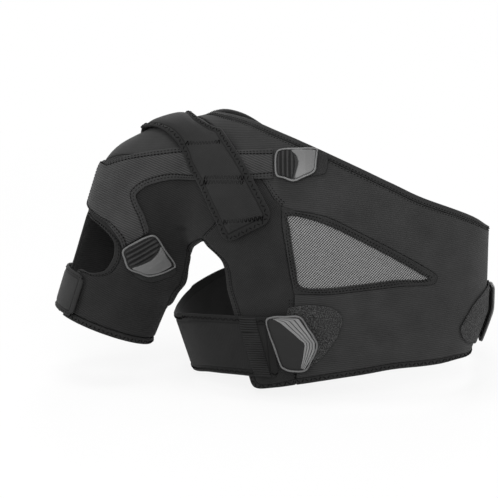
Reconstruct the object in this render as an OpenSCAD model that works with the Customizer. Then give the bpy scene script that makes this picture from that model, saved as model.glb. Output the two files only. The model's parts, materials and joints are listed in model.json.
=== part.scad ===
// Shoulder compression wrap for one shoulder, laid as worn: a chest and a back panel, a sleeve,
// a band over the upper arm, hook-and-loop straps with pull tabs, and a gel pack in a pocket.
// Origin: on the torso axis, level with the lowest corner of the chest hem. +Z up, -Y the front.

/* [Body it fits] */
// Width of the chest under the arms
chest_w = 342; // [310:2:374]
// Depth of the chest, front to back
chest_d = 246; // [220:2:270]
// Height from the hem corner to the shoulder line
rise = 280; // [260:2:300]
// Diameter of the upper arm over its widest muscle
arm_top_d = 122; // [112:1:130]
// Diameter of the upper arm at the cuff hem
arm_end_d = 104; // [94:1:112]
// Length from the middle of the shoulder joint to the cuff hem
sleeve_len = 161; // [150:1:172]
// Tilt of the upper arm away from the body, in degrees
arm_out = 20.5; // [19:0.5:24]
// Tilt of the upper arm towards the front, in degrees
arm_forward = 7.5; // [3.5:0.5:11.5]

/* [Cloth] */
// Thickness of the panels
cloth_t = 3.2; // [2:0.1:4.5]
// Width of the edge binding
binding_w = 7; // [5:0.5:9]
// Height of the binding above the cloth
binding_proud = 0.5; // [0.2:0.1:0.8]
// Gap between two panels along a seam
seam_gap = 0.4; // [0.2:0.1:0.8]
// Gap between two layers of cloth
lift = 0.7; // [0.5:0.1:1.1]
// Thickness of the band over the shoulder
saddle_t = 2.4; // [1.5:0.1:3.5]
// Thickness of the mesh
mesh_t = 1.2; // [0.8:0.1:2]

/* [Straps] */
// Width of the shoulder strap
strap_w = 54; // [46:1:58]
// Thickness of the shoulder strap
strap_t = 2.6; // [1.8:0.1:3.5]
// Width of the two belts
belt_w = 68; // [56:1:72]
// Thickness of the two belts
belt_t = 2.6; // [1.8:0.1:3.5]
// Width of the ribbed tape at the end of a belt
tape_w = 14; // [10:1:18]
// Thickness of the cuff tab
tab_t = 2.6; // [1.8:0.1:3.5]
// Width of the cuff tab, along the arm
tab_w = 48; // [40:1:50]

/* [Pulls] */
// Height of the small pulls on the shoulder band
small_pull_h = 33; // [28:1:38]
// Length of the small pulls on the shoulder band
small_pull_len = 45; // [38:1:50]
// Height of the large pulls on the belts
large_pull_h = 62; // [54:1:66]
// Length of the large pulls on the belts
large_pull_len = 55; // [48:1:60]
// Thickness of a pull's moulded plate
plate_t = 2; // [1.4:0.1:3]
// Height of the rim and the grip above the plate
grip_t = 1.4; // [0.8:0.1:2.2]
// Width of a pull's rim
rim_w = 2; // [1.5:0.5:5]
// Thickness of the hook pads
hook_t = 1.2; // [0.8:0.1:2]
// Thickness of the loop patches
loop_t = 1.4; // [1:0.1:2.2]

/* [Cold pack] */
// Length of the gel pack down the arm
pack_len = 104; // [90:1:116]
// Width of the gel pack round the arm
pack_w = 116; // [96:1:126]
// Thickness of the gel pack
pack_t = 7; // [5:0.5:9]
// Thickness of the pocket's lining
lining_t = 0.9; // [0.6:0.1:1.4]
// Width of the lining's sewn border
pocket_border = 10; // [8:1:14]

/* [Hidden] */
// Sizes at which the pattern was drawn
drawn_chest_w = 342;
drawn_rise = 280;
drawn_sleeve = 161;
// Grading of the pattern with the body it fits
grade_x = chest_w / drawn_chest_w;
grade_z = rise / drawn_rise;
grade_s = sleeve_len / drawn_sleeve;
// Shape of the torso: level of the widest part, taper below it, roundness and dome above
widest_z = 64 * grade_z;
side_taper = 0.32;
depth_taper = 0.10;
roundness = 2.3;
dome_z = 150 * grade_z;
dome_h = 150 * grade_z;
// Hollow of the armpit: its depth and the levels between which it lies
hollow = 18;
hollow_z = [76 * grade_z, 172 * grade_z];
// Shoulder joint, direction of the upper arm, and the ridge from the neck to the shoulder
joint_out = 25;
joint_back = 5;
joint_z = 190 * grade_z;
joint = [-chest_w / 2 - joint_out, joint_back, joint_z];
arm_raw = [-tan(arm_out), -tan(arm_forward), -1];
arm_dir = arm_raw / norm(arm_raw);
neck_end = [-40 * grade_x, 8, 228 * grade_z];
neck_r = 60 * grade_z;
ridge_end = [-160 * grade_x, joint_back, 210 * grade_z];
ridge_r = 57 * grade_z;
ridge_y = 6;
blend_neck = 24;
blend_arm = 18;
// Soft fold at the inner side of the arm, below the armpit: its middle and its radius
fold_mid = [-190 * grade_x, -14, 106 * grade_z];
fold_r = 30;
// Distance from which points are cast onto the body
far = 420;
// Heights of the layers above the body
binding_top = cloth_t + binding_proud;
layer_1 = binding_top + lift;
layer_2 = layer_1 + max(saddle_t, hook_t + loop_t) + lift;
// Gap between a piece and what is sewn or moulded on it, and the thickness of the ribbed tape
touch = 0.3;
tape_t = 1;
// Colours
black = [0.16, 0.16, 0.17];
knit = [0.22, 0.22, 0.23];
grey = [0.48, 0.48, 0.48];
mesh_grey = [0.55, 0.55, 0.55];
loop_grey = [0.26, 0.26, 0.26];
gel_blue = [0.35, 0.55, 0.75];

// Body that the wrap lies on
function clamp(v, low, high) = max(low, min(high, v));
function torso(p) =
    let(low = min(p.z - widest_z, 0),
        dip = p.x < 0 ? pow(sin(180 * clamp((p.z - hollow_z[0]) / (hollow_z[1] - hollow_z[0]), 0, 1)), 2) : 0,
        a = chest_w / 2 + side_taper * low - hollow * dip,
        b = chest_d / 2 + depth_taper * low,
        up = max(p.z - dome_z, 0),
        g = pow(pow(abs(p.x) / a, roundness) + pow(abs(p.y) / b, roundness)
            + pow(up / dome_h, roundness), 1 / roundness))
    norm([p.x, p.y, up]) * (1 - 1 / max(g, 0.001));
function tube(p, from, dir, len, r_from, r_to, end) =
    let(t = clamp((p - from) * dir / len, 0, end))
    norm(p - from - dir * len * t) - r_from - (r_to - r_from) * t;
function soft_min(a, b, k) = let(h = max(k - abs(a - b), 0) / k) min(a, b) - h * h * k / 4;
ridge_len = norm(ridge_end - neck_end);
ridge_dir = (ridge_end - neck_end) / ridge_len;
function body(p) =
    let(trunk = soft_min(torso(p), tube(p, neck_end, ridge_dir, ridge_len, neck_r, ridge_r, 1), blend_neck),
        arm = tube(p, joint, arm_dir, sleeve_len, arm_top_d / 2, arm_end_d / 2, 1.3))
    soft_min(soft_min(trunk, arm, blend_arm), norm(p - fold_mid) - fold_r, blend_arm);
function slope(p) =
    let(h = 0.4, f = body(p))
    [body(p + [h, 0, 0]) - f, body(p + [0, h, 0]) - f, body(p + [0, 0, h]) - f] / h;
function unit(v) = v / norm(v);
function snap(p, n = 4) = n == 0 ? p : let(g = slope(p)) snap(p - g * body(p) / (g * g), n - 1);
function march(p, dir, n = 26) = n == 0 ? snap(p, 2) : march(p + dir * body(p) * 0.8, dir, n - 1);

// Pattern points: on the front or the back, on top, round the torso and round the arm
function flat_at(side, q) = march([q[0] * grade_x, side * far, q[1] * grade_z], [0, -side, 0]);
function top_at(x, y) = march([x * grade_x, y, far], [0, 0, -1]);
function round_at(turn, level) =
    let(z = level * grade_z,
        low = min(z - widest_z, 0),
        a = chest_w / 2 + side_taper * low,
        b = chest_d / 2 + depth_taper * low,
        left = 1 - pow(max(z - dome_z, 0) / dome_h, roundness),
        g = pow(abs(sin(turn)) / a, roundness) + pow(abs(cos(turn)) / b, roundness),
        r = pow(left / g, 1 / roundness))
    snap([r * sin(turn), -r * cos(turn), z]);
arm_front = unit([0, -1, 0] - arm_dir * (arm_dir * [0, -1, 0]));
arm_side = cross(arm_dir, arm_front);
function arm_at(s, turn) =
    let(d = arm_front * cos(turn) + arm_side * sin(turn),
        t = clamp(s * grade_s / sleeve_len, 0, 1.3))
    snap(joint + arm_dir * s * grade_s + d * (arm_top_d + (arm_end_d - arm_top_d) * t) / 2, 6);
function mirror_turn(side, turn) = side < 0 ? turn : 180 - turn;

// Curves: a smooth line through points, with a number of steps between each two
function spline(a, b, c, d, t) =
    b + 0.5 * t * (c - a + t * (2 * a - 5 * b + 4 * c - d + t * (3 * (b - c) + d - a)));
function curve(pts, steps, closed = false) =
    let(n = len(pts))
    [for (i = [0:(closed ? n : n - 1) - 1], k = [0:steps - 1])
        spline(pts[closed ? (i + n - 1) % n : max(i - 1, 0)], pts[i], pts[(i + 1) % n],
            pts[closed ? (i + 2) % n : min(i + 2, n - 1)], k / steps),
     if (!closed) pts[n - 1]];
function backwards(list) = [for (i = [len(list) - 1:-1:0]) list[i]];
function part_of(list, from, to) = [for (i = [from:to]) list[i]];
function middle(a, b) = [for (i = [0:len(a) - 1]) (a[i] + b[i]) / 2];
function span(a, m, b) = norm(m - a) + norm(b - m);
function across(a, m, b, t) =
    let(h = norm(m - a) / span(a, m, b))
    a * (t - h) * (t - 1) / h + m * t * (t - 1) / (h * (h - 1)) + b * t * (t - h) / (1 - h);
function trim_at(trim, i) = is_list(trim) ? trim[i] : trim;

// A closed solid from two grids of points, the inner and the outer face
function quads(rows, cols, from, closed, flip) =
    [for (i = [0:rows - (closed ? 1 : 2)], j = [0:cols - 2])
        let(a = from + i * cols + j, b = from + (i + 1) % rows * cols + j)
        each flip ? [[a, a + 1, b], [a + 1, b + 1, b]] : [[a, b, a + 1], [a + 1, b, b + 1]]];
function faces_out(inner, outer) =
    let(i = floor(len(inner) / 2) - 1, j = floor((len(inner[0]) - 1) / 2), p = inner[i][j])
    cross(inner[i + 1][j] - p, inner[i][j + 1] - p) * (outer[i][j] - p) > 0;
module solid(low_grid, high_grid, closed = false) {
    turned = faces_out(low_grid, high_grid);
    inner = turned ? [for (r = low_grid) backwards(r)] : low_grid;
    outer = turned ? [for (r = high_grid) backwards(r)] : high_grid;
    rows = len(inner);
    cols = len(inner[0]);
    n = rows * cols;
    points = [for (r = inner) each r, for (r = outer) each r];
    long_edges = [for (i = [0:rows - (closed ? 1 : 2)])
        let(a = i * cols, b = (i + 1) % rows * cols, c = a + cols - 1, d = b + cols - 1)
        each [[a, b, n + a], [b, n + b, n + a], [c, n + c, d], [d, n + c, n + d]]];
    short_edges = closed ? [] : [for (j = [0:cols - 2])
        let(a = j, c = (rows - 1) * cols + j)
        each [[a, n + a, a + 1], [a + 1, n + a, n + a + 1],
              [c, c + 1, n + c], [c + 1, n + c + 1, n + c]]];
    polyhedron(points, concat(quads(rows, cols, 0, closed, true), quads(rows, cols, n, closed, false),
        long_edges, short_edges));
}
function raised(grid, h) = [for (r = grid) [for (p = r) p + unit(slope(p)) * h]];

// Cloth between two edges, trimmed by a width at each, from one height to another
function weave(a, m, b, trim_a, trim_b, cells) =
    [for (i = [0:len(a) - 1])
        let(l = span(a[i], m[i], b[i]), from = trim_at(trim_a, i) / l, to = 1 - trim_at(trim_b, i) / l)
        [for (j = [0:cells]) snap(across(a[i], m[i], b[i], from + (to - from) * j / cells))]];
module cloth(a, m, b, trim_a, trim_b, cells, low, high, closed = false) {
    grid = weave(a, m, b, trim_a, trim_b, cells);
    solid(raised(grid, low), raised(grid, high), closed);
}
// Edging of a given width along the first of two edges
module edging(a, m, b, from, to, w, low, high, closed = false) {
    grid = [for (i = [from:to])
        let(l = span(a[i], m[i], b[i]))
        [for (j = [0:1]) snap(across(a[i], m[i], b[i], j * w / l))]];
    solid(raised(grid, low), raised(grid, high), closed);
}
// A band of constant width along a line of points
function heading(line, i) = unit(line[min(i + 1, len(line) - 1)] - line[max(i - 1, 0)]);
function band_edge(line, offset) =
    [for (i = [0:len(line) - 1])
        let(n = unit(slope(line[i])), d = is_list(offset) ? offset[i] : offset)
        snap(line[i] + unit(cross(n, heading(line, i))) * d)];
module band(line, w, cells, low, high) {
    a = band_edge(line, -w / 2);
    b = band_edge(line, w / 2);
    cloth(a, line, b, 0, 0, cells, low, high);
}
// Flat pieces laid on the body: points of an outline, in a frame at a point with a direction
function laid(at, dir, q) =
    let(n = unit(slope(at)), u = unit(dir - n * (dir * n)), v = cross(n, u))
    snap(at + u * q[0] + v * q[1], 6);
function centre_of(outline) = snap([for (p = outline) 1] * outline / len(outline), 6);
module patch(outline, shares, lows, highs) {
    c = centre_of(outline);
    up = unit(slope(c));
    ring = cross(outline[0] - c, outline[1] - c) * up > 0 ? outline : backwards(outline);
    n = len(ring);
    m = len(shares);
    grid = [for (t = shares, p = ring) snap(c + (p - c) * t)];
    points = [c + up * trim_at(lows, 0), c + up * trim_at(highs, 0),
        for (k = [0:m * n - 1]) grid[k] + unit(slope(grid[k])) * trim_at(lows, floor(k / n)),
        for (k = [0:m * n - 1]) grid[k] + unit(slope(grid[k])) * trim_at(highs, floor(k / n))];
    faces = [for (i = [0:n - 1])
        let(k = (i + 1) % n, edge = 2 + (m - 1) * n, top = m * n)
        each concat([[0, 2 + i, 2 + k], [1, 2 + top + k, 2 + top + i],
            [edge + i, edge + top + i, edge + k], [edge + k, edge + top + i, edge + top + k]],
            [for (j = [0:m - 2])
                let(a = 2 + j * n + i, b = 2 + j * n + k)
                each [[a, a + n, b], [b, a + n, b + n],
                    [top + a, top + b, top + a + n], [top + b, top + b + n, top + a + n]]])];
    polyhedron(points, faces);
}

// Rings of points in a laid piece, as shares of its outline, for small and for wide pieces
pad_rings = [0.5, 1];
plate_rings = [0.4, 0.75, 1];
wide_rings = [0.3, 0.55, 0.8, 1];
mesh_rings = [0.5, 0.99];
lining_rings = [0.3, 0.55, 0.88, 1];

// Pattern of the panels, as points across and up the front, drawn for the nominal body
steps = 3;
mesh_edge_pts = [[-48, 190], [-13, 182], [25, 164], [64, 142], [90, 125], [96, 122], [96, 120],
    [90, 119], [64, 121], [30, 118], [-8, 114], [-36, 115], [-41, 132], [-45, 155], [-48, 176]];
mesh_seam_pts = [[-56, 199], [-12, 190], [28, 171], [68, 149], [100, 128], [106, 122], [106, 117],
    [100, 113], [68, 114], [30, 111], [-8, 107], [-43, 107], [-48, 130], [-52, 155], [-56, 180]];
neckline_pts = [[-95, 278], [-66, 272], [-38, 263], [-7, 251], [28, 236], [60, 221], [97, 203]];
back_neckline_pts = [[-97, 266], [-68, 243], [-38, 219], [-7, 199], [28, 179], [60, 162], [97, 146]];
yoke_seam_pts = [[-117, 261], [-98, 244], [-76, 223]];
back_yoke_pts = [[-117, 261], [-98, 244], [-78, 207]];
// Height by which the mesh sits lower in the back than in the chest
back_drop = 40;
hem_pts = [[72, 22], [30, 17], [-8, 11], [-40, 5]];
side_edge_pts = [[-97, 240], [-106, 215], [-116, 192], [-126, 172], [-135, 153], [-119, 136],
    [-113, 106], [-105, 78], [-97, 42], [-91, 14], [-84, -2], [-64, 0], [-41, 5]];
neck_x = -128;
yoke_x = -146;
// Turn round the torso of the far end, and of the last points before it, front and back
far_turn = [98, 58];
bend_top_turn = [74, 48];
bend_low_turn = [62, 48];
far_top_z = [132, 112];
bend_top_z = [165, 128];
far_low_z = 24;
bend_low_z = 20;
// Armhole edge of the sleeve, as points across and up the front
armhole_front_pts = [[-150, 140], [-155, 127], [-157, 113], [-158, 100], [-164, 89]];
// Sleeve: distance down the arm and turn round it, 0 at the front and 90 at the outer side
armhole_back_pts = [[38, -52], [50, -64], [62, -72], [78, -77], [95, -80]];
underarm_pts = [[112, -86], [130, -90]];
window_pts = [[-2, 97], [22, 97], [38, 94], [47, 78], [52, 44], [60, 25], [72, 19], [84, 19],
    [96, 24], [104, 40], [107, 60], [128, 62]];
rear_edge_pts = [[-2, 82.5], [22, 82.5], [42, 82.5], [51, 90], [58, 98], [64, 99], [74, 99], [84, 99],
    [96, 99], [104, 99], [107, 99], [128, 99]];
sleeve_mid_flat = [[-170, 232], [-182, 206], [-190, 188]];
sleeve_mid_pts = [[28, 10], [42, -2], [54, -9], [68, -13], [80, -15], [92, -17], [104, -12], [112, -12],
    [130, -14]];
cuff_seam = 1.6;
cuff_s = drawn_sleeve - (binding_w + cuff_seam) / grade_s;
cuff_turns = [-90, 62];
cuff_turns_back = [-90, 99];
cuff_mid_turn = -14;

// Lines that the panels share
function k_of(side) = side < 0 ? 0 : 1;
function on_flat(side, pts) = [for (q = pts) flat_at(side, q)];
function on_arm(side, pts) = [for (q = pts) arm_at(q[0], mirror_turn(side, q[1]))];
function on_round(side, turn, z) = round_at(mirror_turn(side, turn), z);
function ridge_at(side, x) = top_at(x, ridge_y + side * seam_gap / 2);
function dropped(side, pts) = [for (q = pts) [q[0], q[1] - (side < 0 ? 0 : back_drop)]];
function outer_line(side) =
    let(k = k_of(side))
    curve(concat([ridge_at(side, neck_x)], on_flat(side, side < 0 ? neckline_pts : back_neckline_pts),
        [on_round(side, bend_top_turn[k], bend_top_z[k]), on_round(side, far_turn[k], far_top_z[k]),
         on_round(side, far_turn[k], far_low_z), on_round(side, bend_low_turn[k], bend_low_z)],
        on_flat(side, hem_pts)), steps);
function inner_line(side) = curve(concat([ridge_at(side, yoke_x)],
    on_flat(side, side < 0 ? yoke_seam_pts : back_yoke_pts),
    on_flat(side, dropped(side, part_of(mesh_seam_pts, 0, 11)))), steps);
mesh_from = 4 * steps;
yoke_from = 2 * steps;
function mesh_side(side) = curve(on_flat(side, dropped(side, concat(part_of(mesh_seam_pts, 11, 14),
    [mesh_seam_pts[0]]))), steps);
function drop_ends(list) = part_of(list, 1, len(list) - 2);
function drop_first(list) = part_of(list, 1, len(list) - 1);
function mesh_outer(side) =
    let(a = inner_line(side))
    concat(part_of(a, mesh_from, len(a) - 1), drop_ends(mesh_side(side)));
function mesh_inner(side) = curve(on_flat(side, dropped(side, mesh_edge_pts)), steps, true);
function hem_seam(side) =
    let(a = inner_line(side), b = outer_line(side), n = len(a) - 1, count = 6 * steps, end = 0.12)
    [for (k = [1:count])
        snap(a[n] + (b[n] - a[n]) * (1 - end) * k / count) - [seam_gap, 0, 0]];
function side_inner(side) = concat(part_of(inner_line(side), yoke_from, mesh_from - 1),
    backwards(mesh_side(side)), hem_seam(side));
function side_edge(side) = curve(on_flat(side, side_edge_pts), steps);
armhole_from = 4 * steps;
function sleeve_inner(side) =
    let(edge = side < 0 ? on_flat(side, armhole_front_pts) : on_arm(side, armhole_back_pts),
        tail = curve(concat(on_flat(side, part_of(side_edge_pts, 3, 4)), edge, on_arm(side, underarm_pts),
        [arm_at(cuff_s, mirror_turn(side, cuff_turns[0]))]), steps))
    concat(part_of(side_edge(side), 0, armhole_from), part_of(tail, steps + 1, len(tail) - 1));
function sleeve_outer(side) =
    curve(concat(on_arm(side, side < 0 ? window_pts : rear_edge_pts),
        [arm_at(cuff_s, mirror_turn(side, side < 0 ? cuff_turns[1] : cuff_turns_back[1]))]), steps);
function sleeve_mid(side) = curve(concat(on_flat(side, sleeve_mid_flat), on_arm(side, sleeve_mid_pts),
    [arm_at(cuff_s, mirror_turn(side, cuff_mid_turn))]), steps);

// Panels
module torso_panel(side) {
    a = outer_line(side);
    b = inner_line(side);
    cloth(a, middle(a, b), b, binding_w + seam_gap, seam_gap / 2, 6, 0, cloth_t);
}
module torso_binding(side) {
    a = outer_line(side);
    b = inner_line(side);
    edging(a, middle(a, b), b, 0, len(a) - 1, binding_w, 0, binding_top);
}
module side_panel(side) {
    a = side_edge(side);
    b = side_inner(side);
    trims = [for (i = [0:len(a) - 1]) i < armhole_from ? seam_gap / 2 : binding_w + seam_gap];
    cloth(a, middle(a, b), b, trims, seam_gap, 5, 0, cloth_t);
}
module side_binding(side) {
    a = side_edge(side);
    b = side_inner(side);
    edging(a, middle(a, b), b, armhole_from, len(a) - 1, binding_w, 0, binding_top);
}
module mesh_panel(side) {
    patch(mesh_inner(side), mesh_rings, cloth_t / 2 - mesh_t / 2, cloth_t / 2 + mesh_t / 2);
}
module mesh_binding(side) {
    a = mesh_inner(side);
    b = mesh_outer(side);
    cloth(a, middle(a, b), b, 0, seam_gap / 2, 1, 0, binding_top, true);
}
// Gaps of the sleeve and the cap to the seams, and of the sleeve to its binding
sleeve_gap = 1.5 * seam_gap;
cap_gap = 2.5 * seam_gap;
binding_gap = 2.5 * seam_gap;
window_from = 3 * steps;
window_to = 10 * steps;
armpit_at = 10 * steps;
module sleeve(side) {
    a = sleeve_inner(side);
    b = sleeve_outer(side);
    inner_trims = [for (i = [0:len(a) - 1])
        i < armhole_from || i > armpit_at ? sleeve_gap : binding_w + binding_gap];
    outer_trims = [for (i = [0:len(a) - 1])
        side < 0 && i >= window_from && i <= window_to ? binding_w + seam_gap : seam_gap / 2];
    cloth(a, sleeve_mid(side), b, inner_trims, outer_trims, 9, 0, cloth_t);
}
module sleeve_binding(side) {
    edging(sleeve_inner(side), sleeve_mid(side), sleeve_outer(side), armhole_from, armpit_at - 1,
        binding_w, 0, binding_top);
}
module window_edge() {
    edging(sleeve_outer(-1), sleeve_mid(-1), sleeve_inner(-1), window_from, window_to, binding_w,
        0, binding_top);
}
// Steps round the cuff hem, and the turn left free at each of its ends
cuff_steps = 14;
cuff_free = [0.4, 0.2];
module cuff_edge(side) {
    ends = side < 0 ? cuff_turns : cuff_turns_back;
    from = ends[0] + cuff_free[0];
    turns = [for (k = [0:cuff_steps]) from + (ends[1] - cuff_free[1] - from) * k / cuff_steps];
    a = [for (t = turns) arm_at(drawn_sleeve - binding_w / grade_s, mirror_turn(side, t))];
    b = [for (t = turns) arm_at(drawn_sleeve, mirror_turn(side, t))];
    cloth(a, middle(a, b), b, 0, 0, 1, 0, binding_top);
}
cap_cells = 12;
cap_lap = 1.4;
function halved(list) = [for (i = [0:len(list) - 2]) each [list[i], (list[i] + list[i + 1]) / 2],
    list[len(list) - 1]];
function cap_seam(side) =
    let(a = flat_at(side, side_edge_pts[0]), m = flat_at(side, sleeve_mid_flat[0]),
        b = on_arm(side, [side < 0 ? window_pts[0] : rear_edge_pts[0]])[0])
    [for (k = [0:cap_cells]) snap(across(a, m, b, k / cap_cells))];
module cap() {
    yoke = halved(concat(backwards(part_of(inner_line(-1), 0, yoke_from)),
        part_of(inner_line(1), 1, yoke_from)));
    seam = concat(cap_seam(-1), drop_first(backwards(cap_seam(1))));
    mid = [for (p = middle(yoke, seam)) snap(p, 6)];
    cloth(yoke, mid, seam, cap_gap, cap_lap, 8, 0, cloth_t);
}

// Band over the shoulder, with an arm to the chest and an arm down the sleeve
band_top_pts = [[-64.5, 253], [-99, 249], [-132, 247], [-160, 245], [-180, 243], [-200, 239], [-222, 233]];
band_low_pts = [[-64.5, 226], [-84, 224], [-116, 220], [-143, 216], [-171, 215], [-191, 211], [-203, 206],
    [-210, 200], [-211, 196], [-209, 190], [-206, 183], [-203, 176]];
band_outer_pts = [[-12, 68], [-8, 94], [22, 95], [36, 92], [42, 60], [45, 36], [56, 18], [64, 12]];
band_rear_pts = [[-12, 68], [-8, 80], [22, 81], [36, 80], [42, 60], [45, 36], [56, 18], [64, 12]];
band_inner_pts = [[30, -3], [34, -6], [38, -7]];
// The arm of the band at the back is shorter: its first two points, above and below
back_top_pts = [[-92, 244], [-108, 246]];
back_low_pts = [[-92, 222], [-104, 221]];
function band_from(side, pts, back_pts) =
    side < 0 ? pts : concat(back_pts, part_of(pts, 2, len(pts) - 1));
function band_outer(side) = curve(concat(on_flat(side, band_from(side, band_top_pts, back_top_pts)),
    on_arm(side, side < 0 ? band_outer_pts : band_rear_pts)), 2);
function band_inner(side) = curve(concat(on_flat(side, band_from(side, band_low_pts, back_low_pts)),
    on_arm(side, band_inner_pts)), 2);
module shoulder_band(side) {
    a = band_outer(side);
    b = band_inner(side);
    mid = [for (p = middle(a, b)) snap(p, 6)];
    cloth(a, mid, b, 0, 0, 7, layer_1, layer_1 + saddle_t);
}

// Shoulder strap: sewn behind the shoulder, laid over the band and hooked to the chest
strap_top = [[-179, 0], [-174, -20]];
strap_pts = [[-146, 257], [-133, 244], [-119, 228], [-108, 210], [-98, 192], [-88, 172]];
strap_back_top = [[-179, 0], [-181, -20]];
strap_back_pts = [[-184, 245], [-187, 231], [-190, 217], [-192, 203]];
fold_gap = 2.4;
// Shares of the strap's half width at each point of its line, left and right, from the fold to the tip
strap_left = [1, 0.54, 0.76, 0.9, 0.94, 0.98, 1, 1.02];
strap_right = [1, 0.62, 0.78, 0.9, 0.94, 0.98, 1, 1.02];
strap_steps = 3;
function strap_half(shares, side, i) = strap_w / 2 * (side > 0 ? 1 :
    lookup(i / strap_steps, [for (k = [0:len(shares) - 1]) [k, shares[k]]]));
function strap_line(side) = curve(concat(
    [for (q = side < 0 ? strap_top : strap_back_top)
        top_at(q[0], ridge_y - side * q[1] + side * fold_gap / 2)],
    on_flat(side, side < 0 ? strap_pts : strap_back_pts)), strap_steps);
module strap(side) {
    line = strap_line(side);
    y = ridge_y + side * fold_gap / 2;
    reach = strap_w / 2 / grade_x;
    fold = [top_at(strap_top[0][0] - reach, y), top_at(strap_top[0][0] + reach, y)];
    rows = [0:len(line) - 1];
    left = [for (i = rows) -strap_half(strap_left, side, i)];
    right = [for (i = rows) strap_half(strap_right, side, i)];
    a = concat([fold[side < 0 ? 0 : 1]], drop_first(band_edge(line, left)));
    b = concat([fold[side < 0 ? 1 : 0]], drop_first(band_edge(line, right)));
    cloth(a, line, b, 0, 0, 6, layer_2, layer_2 + strap_t);
}
strap_pad_from = 15;
strap_pad_margin = 4;
module strap_pad() {
    line = strap_line(-1);
    band(part_of(line, strap_pad_from, len(line) - 2), strap_w - 2 * strap_pad_margin, 5, layer_1,
        layer_2 - touch);
}

// Belts: turn round the torso and height of the middle line, 0 at the front
near_belt_pts = [[-150, 50], [-135, 46], [-118, 34], [-103, 25], [-90, 24], [-77, 30], [-64, 39],
    [-52, 44], [-43.5, 46]];
near_tip_pts = [[-42.8, 46], [-34, 47], [-28, 48]];
far_belt_pts = [[138, 60], [126, 58], [114, 57], [107, 56]];
far_tip_pts = [[106.3, 56], [100, 56], [94, 56]];
belt_margin = 1;
function belt_line(pts, n) = curve([for (q = pts) round_at(q[0], q[1])], n);
module belt(pts, n) {
    band(belt_line(pts, n), belt_w, 6, layer_1, layer_1 + belt_t);
}
module belt_tape(pts) {
    line = belt_line(pts, 5);
    reach = norm(line[len(line) - 1] - line[0]);
    a = band_edge(line, -belt_w / 2 + belt_margin);
    b = band_edge(line, belt_w / 2 - belt_margin);
    count = len(line) - 1;
    last = ceil(count * tape_w / reach);
    a_part = part_of(a, 0, last);
    b_part = part_of(b, 0, last);
    cloth(a_part, part_of(line, 0, last), b_part, 0, 0, 6, layer_1 + belt_t + touch,
        layer_1 + belt_t + touch + tape_t);
}

// Pulls: outlines as shares of the pull's length and height, from the middle of its fold edge
small_outline = [[0.02, 0.33], [0.12, 0.48], [0.5, 0.5], [0.95, 0.48], [1, 0.36], [0.93, 0.05], [0.8, -0.22],
    [0.62, -0.36], [0.42, -0.5], [0.2, -0.44], [0.03, -0.34], [0, 0]];
large_outline = [[0.03, 0.38], [0.15, 0.48], [0.4, 0.5], [0.68, 0.5], [0.85, 0.28], [1, 0.05], [0.98, -0.12],
    [0.88, -0.3], [0.76, -0.48], [0.5, -0.5], [0.36, -0.46], [0.28, -0.38], [0.15, 0]];
pull_low = layer_1 + max(belt_t, loop_t + lift + hook_t) + lift;
pull_top = pull_low + plate_t;
small_low = layer_1 + hook_t + lift;
small_top = small_low + plate_t;
function outline_at(shares, at, dir, length, height, flip = 1) =
    curve([for (q = shares) laid(at, dir, [q[0] * length, q[1] * height * flip])], 2, true);
chest_fold = flat_at(-1, [-62.5, 238]);
chest_dir = [1, 0, 0];
// The pull on the arm is a little longer than the one on the chest, and wider
arm_pull_grow = [1.1, 1.36];
arm_pull_len = arm_pull_grow[0] * small_pull_len;
arm_pull_h = arm_pull_grow[1] * small_pull_h;
arm_fold = arm_at(52, 2.2);
arm_dir_end = arm_at(77, -32.8) - arm_fold;
near_fold = flat_at(-1, [-72, 54]);
near_dir = [1, 0, 0.04];
far_fold = round_at(97, 56);
far_dir = [0, -1, 0];
function chest_outline() = outline_at(small_outline, chest_fold, chest_dir, small_pull_len, small_pull_h);
function arm_outline() = outline_at(small_outline, arm_fold, arm_dir_end, arm_pull_len, arm_pull_h);
function near_outline() = outline_at(large_outline, near_fold, near_dir, large_pull_len, large_pull_h);
function far_outline() = outline_at(large_outline, far_fold, far_dir, large_pull_len, large_pull_h, -1);
module plate(outline, low) {
    patch(outline, plate_rings, low, low + plate_t);
}
module rim(outline, low) {
    c = centre_of(outline);
    inner = [for (p = outline) p + unit(c - p) * rim_w];
    cloth(outline, middle(outline, inner), inner, 0, 0, 1, low + touch, low + touch + grip_t, true);
}
// Four ribs across a pull, beside its fold edge
rib_count = 4;
rib_from = 0.14;
rib_pitch = 0.1;
rib_w = 0.06;
rib_reach = 0.26;
module ribs(at, dir, length, height, low) {
    for (k = [0:rib_count - 1]) {
        u = (rib_from + k * rib_pitch) * length;
        a = [for (v = [-2:2]) laid(at, dir, [u, v / 2 * rib_reach * height])];
        b = [for (v = [-2:2]) laid(at, dir, [u + rib_w * length, v / 2 * rib_reach * height])];
        cloth(a, middle(a, b), b, 0, 0, 1, low + touch, low + touch + grip_t);
    }
}
// Stepped grey ridges on the far half of a large pull
step_count = 3;
step_from = 0.48;
step_pitch = 0.15;
step_w = 0.08;
step_ends = [6, 16];
module steps_on(outline, low) {
    c = centre_of(outline);
    half = part_of(outline, step_ends[0], step_ends[1]);
    for (k = [0:step_count - 1]) {
        t = step_from + k * step_pitch;
        a = [for (p = half) c + (p - c) * t];
        b = [for (p = half) c + (p - c) * (t + step_w)];
        cloth(a, middle(a, b), b, 0, 0, 1, low + touch, low + touch + grip_t * (k + 1) / (step_count + 1));
    }
}
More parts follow.
